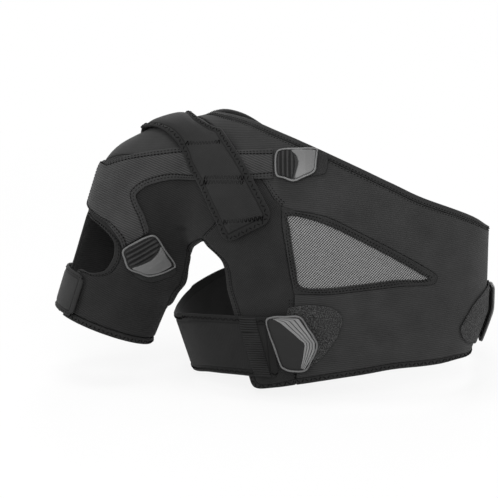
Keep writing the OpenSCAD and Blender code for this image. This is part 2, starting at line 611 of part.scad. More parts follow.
// Hook pads under the pulls, and loop patches on the chest panel
chest_pad_shares = [[0.1, 0.4], [0.6, 0.42], [1.12, 0.36], [1.22, 0.2], [1.18, -0.2], [1.08, -0.34],
    [0.6, -0.4], [0.1, -0.34], [0.06, 0]];
arm_pad_shares = [[0.1, 0.36], [0.5, 0.42], [0.96, 0.44], [1.12, 0.38], [1.13, 0.1], [1, -0.2],
    [0.72, -0.44], [0.42, -0.46], [0.1, -0.3], [0.08, 0]];
large_pad_shares = [[0.36, 0.42], [0.64, 0.42], [0.9, 0.05], [0.85, -0.25], [0.74, -0.4], [0.48, -0.4],
    [0.4, 0]];
near_loop_pts = [[-50, 88], [-41, 94], [-23, 96], [-5, 93], [4, 87], [7, 80], [3, 64], [-7, 47], [-19, 33],
    [-34, 25], [-48, 25], [-51, 50]];
far_loop_pts = [[90, 88], [78, 92], [66, 84], [59, 66], [58, 58], [62, 44], [72, 32], [84, 26], [90, 28],
    [91, 56]];
loop_low = layer_1;
over_loop = layer_1 + loop_t + lift;
module near_loop() {
    patch(curve(on_flat(-1, near_loop_pts), 2, true), plate_rings, loop_low, loop_low + loop_t);
}
module far_loop() {
    patch(curve([for (q = far_loop_pts) round_at(q[0], q[1])], 2, true), wide_rings, loop_low,
        loop_low + loop_t);
}

// Cuff tab: sewn behind the arm, wrapped over the cuff and hooked below the window
tab_s = 133;
tab_fold_turn = 84;
tab_turns = [tab_fold_turn - 0.8, 40];
tab_anchor_turns = [112, tab_fold_turn];
tab_pad_turns = [70, 44];
tab_pad_margin = 4;
function tab_line(turns, n) =
    [for (k = [0:n]) arm_at(tab_s, turns[0] + (turns[1] - turns[0]) * k / n)];
tab_low = layer_1 + hook_t + touch;
module tab(turns, w, low, high) {
    band(tab_line(turns, 6), w, 5, low, high);
}

// Cold pack and its pocket, inside the sleeve
pack_s = -12;
pack_turn = 55;
inside_gap = 1;
pack_corners = 20;
pack_outline = [for (k = [0:pack_corners - 1])
    let(a = 360 / pack_corners * k, r = 1 / pow(pow(abs(cos(a)), 4) + pow(abs(sin(a)), 4), 1 / 4))
    [cos(a) * r / 2, sin(a) * r / 2]];
pack_at = arm_at(pack_s, pack_turn);
pack_dir = arm_dir;
pack_high = -inside_gap - lining_t - lift;
function pack_ring(extra) = [for (q = pack_outline)
    laid(pack_at, pack_dir, [q[0] * (pack_len + 2 * extra), q[1] * (pack_w + 2 * extra)])];
module gel() {
    patch(pack_ring(0), wide_rings, [for (sag = [1, 1, 1, 0.5]) pack_high - sag * pack_t], pack_high);
}
pack_under = pack_high - pack_t - inside_gap;
module lining() {
    edge = -inside_gap - lining_t;
    patch(pack_ring(pocket_border), lining_rings,
        [pack_under - lining_t, pack_under - lining_t, pack_under - lining_t, edge],
        [pack_under, pack_under, pack_under, -inside_gap]);
}

// Pieces at the front
module chest_panel() color(knit) torso_panel(-1);
module chest_edge_binding() color(black) torso_binding(-1);
module chest_side_panel() color(knit) side_panel(-1);
module chest_side_binding() color(black) side_binding(-1);
module chest_mesh() color(mesh_grey) mesh_panel(-1);
module chest_mesh_binding() color(black) mesh_binding(-1);
module sleeve_front() color(black) sleeve(-1);
module sleeve_front_binding() color(black) sleeve_binding(-1);
module window_binding() color(black) window_edge();
module cuff_front_binding() color(black) cuff_edge(-1);
module shoulder_cap() color(knit) cap();
module shoulder_band_front() color(knit) shoulder_band(-1);
// Pieces at the back
module back_panel() color(knit) torso_panel(1);
module back_edge_binding() color(black) torso_binding(1);
module back_side_panel() color(knit) side_panel(1);
module back_side_binding() color(black) side_binding(1);
module back_mesh() color(mesh_grey) mesh_panel(1);
module back_mesh_binding() color(black) mesh_binding(1);
module sleeve_back() color(black) sleeve(1);
module sleeve_back_binding() color(black) sleeve_binding(1);
module cuff_back_binding() color(black) cuff_edge(1);
module shoulder_band_back() color(knit) shoulder_band(1);

// Straps, belts and pulls
module strap_anchor() color(black) strap(1);
module shoulder_strap() color(black) strap(-1);
module strap_hook_pad() color(loop_grey) strap_pad();
module near_belt() color(black) belt(near_belt_pts, 3);
module near_belt_tip() color(black) belt(near_tip_pts, 4);
module near_tape() color(knit) belt_tape(near_tip_pts);
module near_loop_patch() color(loop_grey) near_loop();
module near_hook_pad() color(loop_grey)
    patch(outline_at(large_pad_shares, near_fold, near_dir, large_pull_len, large_pull_h), plate_rings,
        over_loop, over_loop + hook_t);
module near_pull_plate() color(black) plate(near_outline(), pull_low);
module near_pull_rim() color(grey) rim(near_outline(), pull_top);
module near_pull_steps() color(grey) steps_on(near_outline(), pull_top);
module far_belt() color(black) belt(far_belt_pts, 4);
module far_belt_tip() color(black) belt(far_tip_pts, 4);
module far_tape() color(knit) belt_tape(far_tip_pts);
module far_loop_patch() color(loop_grey) far_loop();
module far_hook_pad() color(loop_grey)
    patch(outline_at(large_pad_shares, far_fold, far_dir, large_pull_len, large_pull_h, -1), plate_rings,
        over_loop, over_loop + hook_t);
module far_pull_plate() color(black) plate(far_outline(), pull_low);
module far_pull_rim() color(grey) rim(far_outline(), pull_top);
module far_pull_steps() color(grey) steps_on(far_outline(), pull_top);
module chest_hook_pad() color(loop_grey)
    patch(outline_at(chest_pad_shares, chest_fold, chest_dir, small_pull_len, small_pull_h), pad_rings,
        layer_1, layer_1 + hook_t);
module chest_pull_plate() color(grey) plate(chest_outline(), small_low);
module chest_pull_rim() color(grey) rim(chest_outline(), small_top);
module chest_pull_grip() color(black) ribs(chest_fold, chest_dir, small_pull_len, small_pull_h, small_top);
module arm_hook_pad() color(loop_grey)
    patch(outline_at(arm_pad_shares, arm_fold, arm_dir_end, arm_pull_len, arm_pull_h), pad_rings, layer_1,
        layer_1 + hook_t);
module arm_pull_plate() color(grey) plate(arm_outline(), small_low);
module arm_pull_rim() color(grey) rim(arm_outline(), small_top);
module arm_pull_grip() color(black) ribs(arm_fold, arm_dir_end, arm_pull_len, arm_pull_h, small_top);
module tab_anchor() color(black) tab(tab_anchor_turns, tab_w, binding_top + touch, tab_low + tab_t);
module cuff_tab() color(black) tab(tab_turns, tab_w, tab_low, tab_low + tab_t);
module cuff_hook_pad() color(loop_grey)
    tab(tab_pad_turns, tab_w - 2 * tab_pad_margin, layer_1, layer_1 + hook_t);
// Cold pack
module gel_pack() color(gel_blue) gel();
module pocket_lining() color(black) lining();

// Fold lines: a point on the outer face at the middle, and the direction about which the tip lifts
function fold_line(at, tip, along, height) =
    let(n = unit(slope(at)), d = unit(along))
    [at + n * height, d * sign(d * cross(tip - at, n))];
strap_reach = strap_w / 2 / grade_x;
strap_fold = fold_line(top_at(strap_top[0][0], ridge_y), flat_at(-1, strap_pts[0]),
    top_at(strap_top[0][0] + strap_reach, ridge_y) - top_at(strap_top[0][0] - strap_reach, ridge_y),
    layer_2 + strap_t);
chest_pull_fold = fold_line(chest_fold, chest_fold + chest_dir,
    laid(chest_fold, [0, 0, 1], [small_pull_h / 2, 0]) - laid(chest_fold, [0, 0, -1], [small_pull_h / 2, 0]),
    small_top + touch + grip_t);
arm_pull_fold = fold_line(arm_fold, arm_fold + arm_dir_end, cross(slope(arm_fold), arm_dir_end),
    small_top + touch + grip_t);
function belt_end(pts) =
    let(line = belt_line(pts, 4))
    band_edge(line, belt_w / 2)[0] - band_edge(line, -belt_w / 2)[0];
near_pull_fold = fold_line(belt_line(near_tip_pts, 1)[0], near_fold, belt_end(near_tip_pts),
    layer_1 + belt_t + touch + tape_t);
far_pull_fold = fold_line(belt_line(far_tip_pts, 1)[0], far_fold, belt_end(far_tip_pts),
    layer_1 + belt_t + touch + tape_t);
tab_fold = fold_line(tab_line(tab_turns, 1)[0], tab_line(tab_turns, 1)[1],
    band_edge(tab_line(tab_turns, 6), tab_w / 2)[0] - band_edge(tab_line(tab_turns, 6), -tab_w / 2)[0],
    tab_low + tab_t);
echo(folds = [strap_fold, chest_pull_fold, arm_pull_fold, near_pull_fold, far_pull_fold, tab_fold]);

chest_panel();
chest_edge_binding();
chest_side_panel();
chest_side_binding();
chest_mesh();
chest_mesh_binding();
sleeve_front();
sleeve_front_binding();
window_binding();
cuff_front_binding();
shoulder_cap();
shoulder_band_front();
back_panel();
back_edge_binding();
back_side_panel();
back_side_binding();
back_mesh();
back_mesh_binding();
sleeve_back();
sleeve_back_binding();
cuff_back_binding();
shoulder_band_back();
strap_anchor();
shoulder_strap();
strap_hook_pad();
near_belt();
near_belt_tip();
near_tape();
near_loop_patch();
near_hook_pad();
near_pull_plate();
near_pull_rim();
near_pull_steps();
far_belt();
far_belt_tip();
far_tape();
far_loop_patch();
far_hook_pad();
far_pull_plate();
far_pull_rim();
far_pull_steps();
chest_hook_pad();
chest_pull_plate();
chest_pull_rim();
chest_pull_grip();
arm_hook_pad();
arm_pull_plate();
arm_pull_rim();
arm_pull_grip();
tab_anchor();
cuff_tab();
cuff_hook_pad();
gel_pack();
pocket_lining();
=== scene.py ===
# %% [markdown]
# # A shoulder wrap with straps and pulls
# The imported model gives the frame: where every panel, strap and pull sits, and which body carries it.
# It loads first and stays as it is. Every piece made below takes the place of one of its plain solids.
# Most pieces hang on an empty named after their body; the strips that lift stay where they are made.

# %% Load the imported model
import json
import math

import bpy
import numpy as np
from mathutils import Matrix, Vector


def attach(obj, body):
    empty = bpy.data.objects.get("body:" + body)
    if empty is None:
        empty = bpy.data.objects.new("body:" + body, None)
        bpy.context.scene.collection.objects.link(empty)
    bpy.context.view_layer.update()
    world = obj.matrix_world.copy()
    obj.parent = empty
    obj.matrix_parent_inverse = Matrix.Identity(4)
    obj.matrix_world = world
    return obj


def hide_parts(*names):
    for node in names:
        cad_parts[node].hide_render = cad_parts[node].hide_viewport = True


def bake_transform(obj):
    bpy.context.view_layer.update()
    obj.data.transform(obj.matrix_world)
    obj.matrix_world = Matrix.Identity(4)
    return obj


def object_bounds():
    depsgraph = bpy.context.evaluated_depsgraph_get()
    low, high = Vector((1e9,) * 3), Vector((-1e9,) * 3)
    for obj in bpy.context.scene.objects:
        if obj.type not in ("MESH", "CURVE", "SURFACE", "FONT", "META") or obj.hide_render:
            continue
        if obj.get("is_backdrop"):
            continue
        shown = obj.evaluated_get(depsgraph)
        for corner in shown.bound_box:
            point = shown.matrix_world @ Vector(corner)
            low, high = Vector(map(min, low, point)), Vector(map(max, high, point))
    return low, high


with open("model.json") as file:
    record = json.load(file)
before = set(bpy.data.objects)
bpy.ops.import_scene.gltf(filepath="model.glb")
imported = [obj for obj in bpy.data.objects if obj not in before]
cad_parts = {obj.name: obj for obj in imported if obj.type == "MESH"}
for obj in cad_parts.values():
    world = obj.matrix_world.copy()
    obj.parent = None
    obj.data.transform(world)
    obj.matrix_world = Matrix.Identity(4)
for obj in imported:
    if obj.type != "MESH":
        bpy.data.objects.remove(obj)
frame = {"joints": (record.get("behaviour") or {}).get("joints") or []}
cad_low, cad_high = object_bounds()

# %% [markdown]
# ## Camera, light and floor
# The view is level with the chest and looks down a little, from nearly two metres away, so that the wrap
# shows almost without perspective. A long lens does that. A broad lamp above the camera, one overhead, one
# behind and two weaker ones at the sides make the soft light of a studio. The floor is a pale disc below
# the hem. It glows by itself, so that it stays near white and still shows the shadow, and farther away
# it only glows, so that it ends in plain white.

# %% Camera
camera_distance = 1.9
camera_tilt = math.radians(14)
aim = np.array([-0.091, -0.060, 0.140])
seen_width = 0.538
sensor_width = 36
camera_data = bpy.data.cameras.new("view")
camera_data.sensor_width = sensor_width
camera_data.lens = sensor_width * camera_distance / seen_width
camera = bpy.data.objects.new("view", camera_data)
bpy.context.scene.collection.objects.link(camera)
camera.location = aim + camera_distance * np.array([0, -math.cos(camera_tilt), math.sin(camera_tilt)])
camera.rotation_euler = (math.pi / 2 - camera_tilt, 0, 0)
bpy.context.scene.camera = camera
bpy.context.scene.view_settings.view_transform = "Standard"
print("lens", round(camera_data.lens), "mm")


# %% Lamps
def lamp(name, place, size, power):
    data = bpy.data.lights.new(name, "AREA")
    data.shape = "DISK"
    data.size = size
    data.energy = power
    made = bpy.data.objects.new(name, data)
    made.location = place
    way = Vector(aim) - Vector(place)
    made.rotation_euler = way.to_track_quat("-Z", "Y").to_euler()
    bpy.context.scene.collection.objects.link(made)


lamp("front_lamp", (-0.2, -1.7, 1.1), 1.1, 18.5)
lamp("left_lamp", (-1.9, -0.5, 0.9), 0.9, 8)
lamp("right_lamp", (1.7, -0.6, 0.8), 0.9, 9)
lamp("back_lamp", (0.2, 1.7, 1.3), 1.2, 16)
lamp("top_lamp", (-0.3, -0.2, 2.0), 0.9, 14)
print("five lamps")

# %% World
world_light, white = 0.3, 1.0
world = bpy.data.worlds.new("studio")
bpy.context.scene.world = world
world.use_nodes = True
sky = world.node_tree.nodes["Background"]
sky.inputs["Color"].default_value = (1, 1, 1, 1)
rays = world.node_tree.nodes.new("ShaderNodeLightPath")
level = world.node_tree.nodes.new("ShaderNodeMapRange")
level.inputs["To Min"].default_value = world_light
level.inputs["To Max"].default_value = white
link = world.node_tree.links.new
seen = rays.outputs["Is Camera Ray"]
for kind in ("Is Transmission Ray", "Is Glossy Ray"):
    either = world.node_tree.nodes.new("ShaderNodeMath")
    either.operation = "MAXIMUM"
    link(seen, either.inputs[0])
    link(rays.outputs[kind], either.inputs[1])
    seen = either.outputs[0]
link(seen, level.inputs["Value"])
link(level.outputs["Result"], sky.inputs["Strength"])
print("the world gives", world_light, "of the light and is seen as white")

# %% Floor
floor_drop, floor_radius, floor_tone = 0.004, 14, 0.9
near_glow, far_glow, fade_from, fade_to = 0.86, 1.0, 0.4, 1.6
floor_z = cad_low.z - floor_drop
bpy.ops.mesh.primitive_circle_add(vertices=96, radius=floor_radius, fill_type="NGON",
                                  location=(0, 0, floor_z))
floor = bpy.context.object
floor.name = "floor"
paper = bpy.data.materials.new("pale_floor")
paper.use_nodes = True
tree = paper.node_tree
tree.nodes.clear()
glow = tree.nodes.new("ShaderNodeEmission")
glow.inputs["Strength"].default_value = white
matt = tree.nodes.new("ShaderNodeBsdfDiffuse")
matt.inputs["Color"].default_value = (floor_tone, floor_tone, floor_tone, 1)
mixed = tree.nodes.new("ShaderNodeMixShader")
eye = tree.nodes.new("ShaderNodeLightPath")
share = tree.nodes.new("ShaderNodeMath")
share.operation = "MULTIPLY"
spot = tree.nodes.new("ShaderNodeTexCoord")
away = tree.nodes.new("ShaderNodeVectorMath")
away.operation = "LENGTH"
fade = tree.nodes.new("ShaderNodeMapRange")
fade.interpolation_type = "SMOOTHSTEP"
fade.inputs["From Min"].default_value = fade_from
fade.inputs["From Max"].default_value = fade_to
fade.inputs["To Min"].default_value = near_glow
fade.inputs["To Max"].default_value = far_glow
end = tree.nodes.new("ShaderNodeOutputMaterial")
tree.links.new(spot.outputs["Object"], away.inputs[0])
tree.links.new(away.outputs["Value"], fade.inputs["Value"])
tree.links.new(eye.outputs["Is Camera Ray"], share.inputs[0])
tree.links.new(fade.outputs["Result"], share.inputs[1])
tree.links.new(share.outputs[0], mixed.inputs["Fac"])
tree.links.new(matt.outputs[0], mixed.inputs[1])
tree.links.new(glow.outputs[0], mixed.inputs[2])
tree.links.new(mixed.outputs[0], end.inputs["Surface"])
floor.data.materials.append(paper)
floor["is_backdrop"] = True
print("floor at", round(floor_z, 4))

# %% [markdown]
# ## The form under the cloth
# The wrap has no shape of its own: it takes that of a chest, a shoulder and an upper arm. So the form comes
# first, as a distance function. The chest is a rounded box that tapers below, the shoulder and the arm
# are tapered tubes, a ball makes the soft fold below the armpit, and a soft minimum joins them without a
# crease. Numbers are in millimetres here and become metres when a mesh is made.

# %% Chest, shoulder and arm as one smooth form
chest_half_w, chest_half_d, roundness = 171.0, 123.0, 2.3
waist_z, side_taper, depth_taper = 64.0, 0.32, 0.10
dip_z, dip_h, dip_in = 76.0, 96.0, 18.0
dome_z, dome_h = 150.0, 150.0
sleeve_len = 161.0
joint = np.array([-196.0, 5.0, 190.0])
arm_way = np.array([-math.tan(math.radians(20.5)), -math.tan(math.radians(7.5)), -1.0])
arm_way /= np.linalg.norm(arm_way)
neck_end = np.array([-40.0, 8.0, 228.0])
ridge_end = np.array([-160.0, 5.0, 210.0])
armpit_fold = np.array([-190.0, -14.0, 106.0])
neck_r, ridge_r, arm_r, cuff_r, armpit_r = 60.0, 57.0, 61.0, 52.0, 30.0
arm_reach = 1.3
ridge_blend, arm_blend = 24.0, 18.0
slope_step = 0.4
ridge_len = np.linalg.norm(ridge_end - neck_end)
ridge_way = (ridge_end - neck_end) / ridge_len


def length(v):
    return np.linalg.norm(v, axis=-1)


def unit(v):
    return v / length(v)[..., None]


def torso(p):
    x, y, z = p[..., 0], p[..., 1], p[..., 2]
    low = np.minimum(z - waist_z, 0)
    dip = np.where(x < 0, np.sin(np.pi * np.clip((z - dip_z) / dip_h, 0, 1)) ** 2, 0)
    wide = chest_half_w + side_taper * low - dip_in * dip
    deep = chest_half_d + depth_taper * low
    up = np.maximum(z - dome_z, 0)
    powers = np.abs(x / wide) ** roundness + np.abs(y / deep) ** roundness + (up / dome_h) ** roundness
    share = powers ** (1 / roundness)
    return np.sqrt(x * x + y * y + up * up) * (1 - 1 / np.maximum(share, 0.001))


def tube(p, start, way, long, r_start, r_end, stop):
    t = np.clip((p - start) @ way / long, 0, stop)
    return length(p - start - way * (long * t)[..., None]) - r_start - (r_end - r_start) * t


def soft_min(a, b, k):
    h = np.maximum(k - np.abs(a - b), 0) / k
    return np.minimum(a, b) - h * h * k / 4


def body(p):
    ridge = tube(p, neck_end, ridge_way, ridge_len, neck_r, ridge_r, 1)
    arm = tube(p, joint, arm_way, sleeve_len, arm_r, cuff_r, arm_reach)
    trunk = soft_min(soft_min(torso(p), ridge, ridge_blend), arm, arm_blend)
    return soft_min(trunk, length(p - armpit_fold) - armpit_r, arm_blend)


def slope(p):
    f = body(p)
    moves = np.eye(3) * slope_step
    return np.stack([(body(p + move) - f) / slope_step for move in moves], axis=-1)


def snap(p, turns=4):
    for _ in range(turns):
        g = slope(p)
        p = p - g * (body(p) / np.sum(g * g, axis=-1))[..., None]
    return p


def march(p, way, turns=26, share=0.8):
    """Walks in from outside by a share of the distance, which never steps past the form."""
    for _ in range(turns):
        p = p + way * (body(p) * share)[..., None]
    return snap(p, 2)


print("form: distance at the shoulder joint", round(float(body(joint)), 1), "mm")

# %% [markdown]
# ## Ways to lay a point on the form
# A pattern is drawn flat, as a tailor does. Chest points are given across and up, and cast onto the front or
# the back. Belt points are given as a turn round the chest and a height, and sleeve points as a
# distance down the arm and a turn round it. Smooth curves then join the points.


# %% Casting points onto the form
cast_from = 420.0


def flat_at(side, points):
    q = np.array(points, float)
    p = np.stack([q[:, 0], np.full(len(q), side * cast_from), q[:, 1]], axis=-1)
    return march(p, np.array([0.0, -side, 0.0]))


def top_at(points):
    q = np.array(points, float)
    p = np.stack([q[:, 0], q[:, 1], np.full(len(q), cast_from)], axis=-1)
    return march(p, np.array([0.0, 0.0, -1.0]))


def round_at(points):
    q = np.array(points, float)
    turn, z = np.radians(q[:, 0]), q[:, 1]
    low = np.minimum(z - waist_z, 0)
    wide, deep = chest_half_w + side_taper * low, chest_half_d + depth_taper * low
    left = 1 - (np.maximum(z - dome_z, 0) / dome_h) ** roundness
    powers = np.abs(np.sin(turn) / wide) ** roundness + np.abs(np.cos(turn) / deep) ** roundness
    r = (left / powers) ** (1 / roundness)
    return snap(np.stack([r * np.sin(turn), -r * np.cos(turn), z], axis=-1))


arm_front = np.array([0.0, -1.0, 0.0]) - arm_way * (arm_way @ np.array([0.0, -1.0, 0.0]))
arm_front /= np.linalg.norm(arm_front)
arm_side = np.cross(arm_way, arm_front)


def arm_at(side, points):
    q = np.array(points, float)
    turn = np.radians(q[:, 1] if side < 0 else 180 - q[:, 1])
    out = np.cos(turn)[:, None] * arm_front + np.sin(turn)[:, None] * arm_side
    r = arm_r + (cuff_r - arm_r) * np.clip(q[:, 0] / sleeve_len, 0, arm_reach)
    return snap(joint + q[:, :1] * arm_way + out * r[:, None], 6)


def curve(points, steps, closed=False):
    p = np.array(points, float)
    n = len(p)
    spans = n if closed else n - 1
    t = (np.arange(steps) / steps)[:, None]
    made = []
    for i in range(spans):
        a, d = (p[i - 1], p[(i + 2) % n]) if closed else (p[max(i - 1, 0)], p[min(i + 2, n - 1)])
        b, c = p[i], p[(i + 1) % n]
        made.append(b + 0.5 * t * (c - a + t * (2 * a - 5 * b + 4 * c - d + t * (3 * (b - c) + d - a))))
    return np.concatenate(made + ([] if closed else [p[-1:]]))


print("cuff point:", np.round(arm_at(-1, [[sleeve_len, 0]])[0]))

# %% [markdown]
# ## The pattern
# These are the edges that the panels share: the neckline and hem, the seam round the mesh, the armhole, the
# opening at the outer side of the cuff. Each edge is drawn once and used by both of its neighbours, so
# that the panels meet. The back uses the front's pattern, with a lower neckline and mesh and a shorter
# reach at the far side.

# %% Pattern points
binding_w, seam_gap, cloth_t, binding_top = 7.0, 0.4, 3.2, 3.7
layer_1, layer_2, touch = 4.4, 7.7, 0.3
mesh_edge = [[-48, 190], [-13, 182], [25, 164], [64, 142], [90, 125], [96, 122], [96, 120], [90, 119],
             [64, 121], [30, 118], [-8, 114], [-36, 115], [-41, 132], [-45, 155], [-48, 176]]
mesh_seam = [[-56, 199], [-12, 190], [28, 171], [68, 149], [100, 128], [106, 122], [106, 117], [100, 113],
             [68, 114], [30, 111], [-8, 107], [-43, 107], [-48, 130], [-52, 155], [-56, 180]]
seam_corner = 11
neckline = [[-95, 278], [-66, 272], [-38, 263], [-7, 251], [28, 236], [60, 221], [97, 203]]
back_neckline = [[-97, 266], [-68, 243], [-38, 219], [-7, 199], [28, 179], [60, 162], [97, 146]]
far_end = [[74, 165], [98, 132], [98, 24], [62, 20]]
back_far_end = [[48, 128], [58, 112], [58, 24], [48, 20]]
yoke_seam = [[-117, 261], [-98, 244], [-76, 223]]
back_yoke = [[-117, 261], [-98, 244], [-78, 207]]
back_drop = 40
hem = [[72, 22], [30, 17], [-8, 11], [-40, 5]]
armhole = [[-97, 240], [-106, 215], [-116, 192], [-127, 173], [-138, 155], [-119, 136], [-113, 106],
           [-105, 78], [-97, 42], [-91, 14], [-84, -2], [-64, 0], [-41, 5]]
ridge_y, neck_x, yoke_x = 6, -128, -146
armhole_front = [[-150, 140], [-155, 127], [-157, 113], [-158, 100], [-164, 89]]
armhole_back = [[38, -52], [50, -64], [62, -72], [78, -77], [95, -80]]
underarm = [[112, -86], [130, -90]]
cuff_opening = [[-2, 97], [22, 97], [38, 94], [47, 78], [52, 44], [60, 25], [72, 19], [84, 19], [96, 24],
                [104, 40], [107, 60], [128, 62]]
rear_edge = [[-2, 82.5], [22, 82.5], [42, 82.5], [51, 90], [58, 98], [64, 99], [74, 99], [84, 99],
             [96, 99], [104, 99], [107, 99], [128, 99]]
sleeve_middle_top = [[-170, 232], [-182, 206], [-190, 188]]
sleeve_middle = [[28, 10], [42, -2], [54, -9], [68, -13], [80, -15], [92, -17], [104, -12], [112, -12],
                 [130, -14]]
underarm_turn, middle_turn, front_seam_turn, back_seam_turn = -90, -14, 62, 99
cuff_s = sleeve_len - binding_w - 1.6
steps = 3
armhole_from, armpit_at = 4 * steps, 10 * steps
yoke_from, mesh_from = 2 * steps, 4 * steps
window_from, window_to = 3 * steps, 10 * steps
neck_rows, seam_rows, seam_reach = 9 * steps, 6 * steps, 0.88
smooth_turns = 3
print("pattern:", len(neckline), "points on the neckline,", len(armhole), "on the armhole")


# %% Edges of the panels
def turned(side, turn, z):
    return round_at([[turn if side < 0 else 180 - turn, z]])


def ridge_point(side, x):
    return top_at([[x, ridge_y + side * seam_gap / 2]])


def dropped(side, points):
    return [[x, z if side < 0 else z - back_drop] for x, z in points]


def outer_line(side):
    top, end = (neckline, far_end) if side < 0 else (back_neckline, back_far_end)
    bends = [turned(side, turn, z) for turn, z in end]
    points = [ridge_point(side, neck_x), flat_at(side, top), *bends, flat_at(side, hem)]
    return curve(np.concatenate(points), steps)


def inner_line(side):
    yoke_part = flat_at(side, yoke_seam if side < 0 else back_yoke)
    mesh_part = flat_at(side, dropped(side, mesh_seam[:seam_corner + 1]))
    return curve(np.concatenate([ridge_point(side, yoke_x), yoke_part, mesh_part]), steps)


def mesh_side(side):
    return curve(flat_at(side, dropped(side, mesh_seam[seam_corner:] + mesh_seam[:1])), steps)


def mesh_outer(side):
    return np.concatenate([inner_line(side)[mesh_from:], mesh_side(side)[1:-1]])


def mesh_inner(side):
    return curve(flat_at(side, dropped(side, mesh_edge)), steps, True)


def side_edge(side):
    return curve(flat_at(side, armhole), steps)


def side_inner(side):
    a, b = inner_line(side), outer_line(side)
    k = np.arange(1, seam_rows + 1)[:, None] / seam_rows
    seam = snap(a[-1] + (b[-1] - a[-1]) * seam_reach * k) - [seam_gap, 0, 0]
    return np.concatenate([a[yoke_from:mesh_from], mesh_side(side)[::-1], seam])


print("neckline and hem:", len(outer_line(-1)), "points; armhole:", len(side_edge(-1)))


# %% Edges of the sleeve
def sleeve_inner(side):
    edge = flat_at(side, armhole_front) if side < 0 else arm_at(side, armhole_back)
    below = arm_at(side, underarm + [[cuff_s, underarm_turn]])
    tail = curve(np.concatenate([flat_at(side, armhole[3:5]), edge, below]), steps)
    edge = np.concatenate([side_edge(side)[:armhole_from + 1], tail[steps + 1:]])
    for _ in range(smooth_turns):
        before, after = edge[armhole_from:armpit_at - 1], edge[armhole_from + 2:armpit_at + 1]
        bent = edge[armhole_from + 1:armpit_at]
        edge[armhole_from + 1:armpit_at] = snap((before + 2 * bent + after) / 4)
    return edge


def outer_turn(side):
    return front_seam_turn if side < 0 else back_seam_turn


def sleeve_outer(side):
    edge = cuff_opening if side < 0 else rear_edge
    return curve(arm_at(side, edge + [[cuff_s, outer_turn(side)]]), steps)


def sleeve_mid(side):
    below = arm_at(side, sleeve_middle + [[cuff_s, middle_turn]])
    return curve(np.concatenate([flat_at(side, sleeve_middle_top), below]), steps)


def cuff_line(side, down, count, first_gap=2.0, last_gap=2.0):
    """Points round the cuff, from the underarm seam to the outer seam, short of both by a few degrees."""
    turns = np.linspace(underarm_turn + first_gap, outer_turn(side) - last_gap, count)
    return arm_at(side, [[down, turn] for turn in turns])


print("sleeve edges:", len(sleeve_inner(-1)), "points each")


# %% Pairs of edges with a middle line
def panel_rails(side):
    a, b = outer_line(side), inner_line(side)
    return a, (a + b) / 2, b


def side_rails(side):
    a, b = side_edge(side), side_inner(side)
    return a, (a + b) / 2, b


def net_rails(side):
    a, b = mesh_inner(side), mesh_outer(side)
    return a, (a + b) / 2, b


def sleeve_rails(side):
    return sleeve_inner(side), sleeve_mid(side), sleeve_outer(side)


def rows_of(rails, first, last=None):
    return [r[first:last] for r in rails]


print("three lines to a panel:", len(panel_rails(-1)))

# %% [markdown]
# ## From edges to cloth
# A panel is a grid of points between two edges. Cloth has a thickness and soft, turned edges, so the grid
# gets extra rows close to its rim, where the inner and the outer face run together in a half round. The
# grid also carries its own lengths as a texture map in metres: knit and rib then run with the cloth
# and keep their true size.

# %% Grids with soft rims
rim_shares = np.array([0, 0.14, 0.5])
end_room, corner_angles = 0.45, np.arange(15, 91, 15)


def across(a, m, b, t):
    h = (length(m - a) / (length(m - a) + length(b - m)))[:, None, None]
    a, m, b, t = a[:, None], m[:, None], b[:, None], t[..., None]
    return a * (t - h) * (t - 1) / h + m * t * (t - 1) / (h * (h - 1)) + b * t * (t - h) / (1 - h)


def with_end_rows(rails, near):
    """Adds rows close to both ends of the rails, at given distances."""
    mid = rails[1]
    run = np.concatenate([[0], np.cumsum(length(np.diff(mid, axis=0)))])
    near = np.array(near)
    room = run[-1] * end_room
    spots = np.concatenate([near[near < room], run[-1] - near[near < room]])
    inner = run[(run > near.max()) & (run < run[-1] - near.max())]
    all_runs = np.unique(np.round(np.concatenate([spots, inner, [0, run[-1]]]), 4))
    at = [np.stack([np.interp(all_runs, run, r[:, k]) for k in range(3)], axis=-1) for r in rails]
    return at, all_runs, run


def stepped(spots, widths):
    """Trim widths at places between rows: a panel keeps its full width up to the end of a bound edge."""
    row = np.floor(spots + 1e-6).astype(int)
    after = widths[np.minimum(row + 1, len(widths) - 1)]
    return np.where(spots - row < 1e-6, widths[row], np.minimum(widths[row], after))


def corner_inset(e, radius):
    """How far a round corner of a radius draws the edge in, at a distance from the end."""
    return np.where(e < radius, radius - np.sqrt(np.maximum(radius ** 2 - (radius - e) ** 2, 0)), 0)


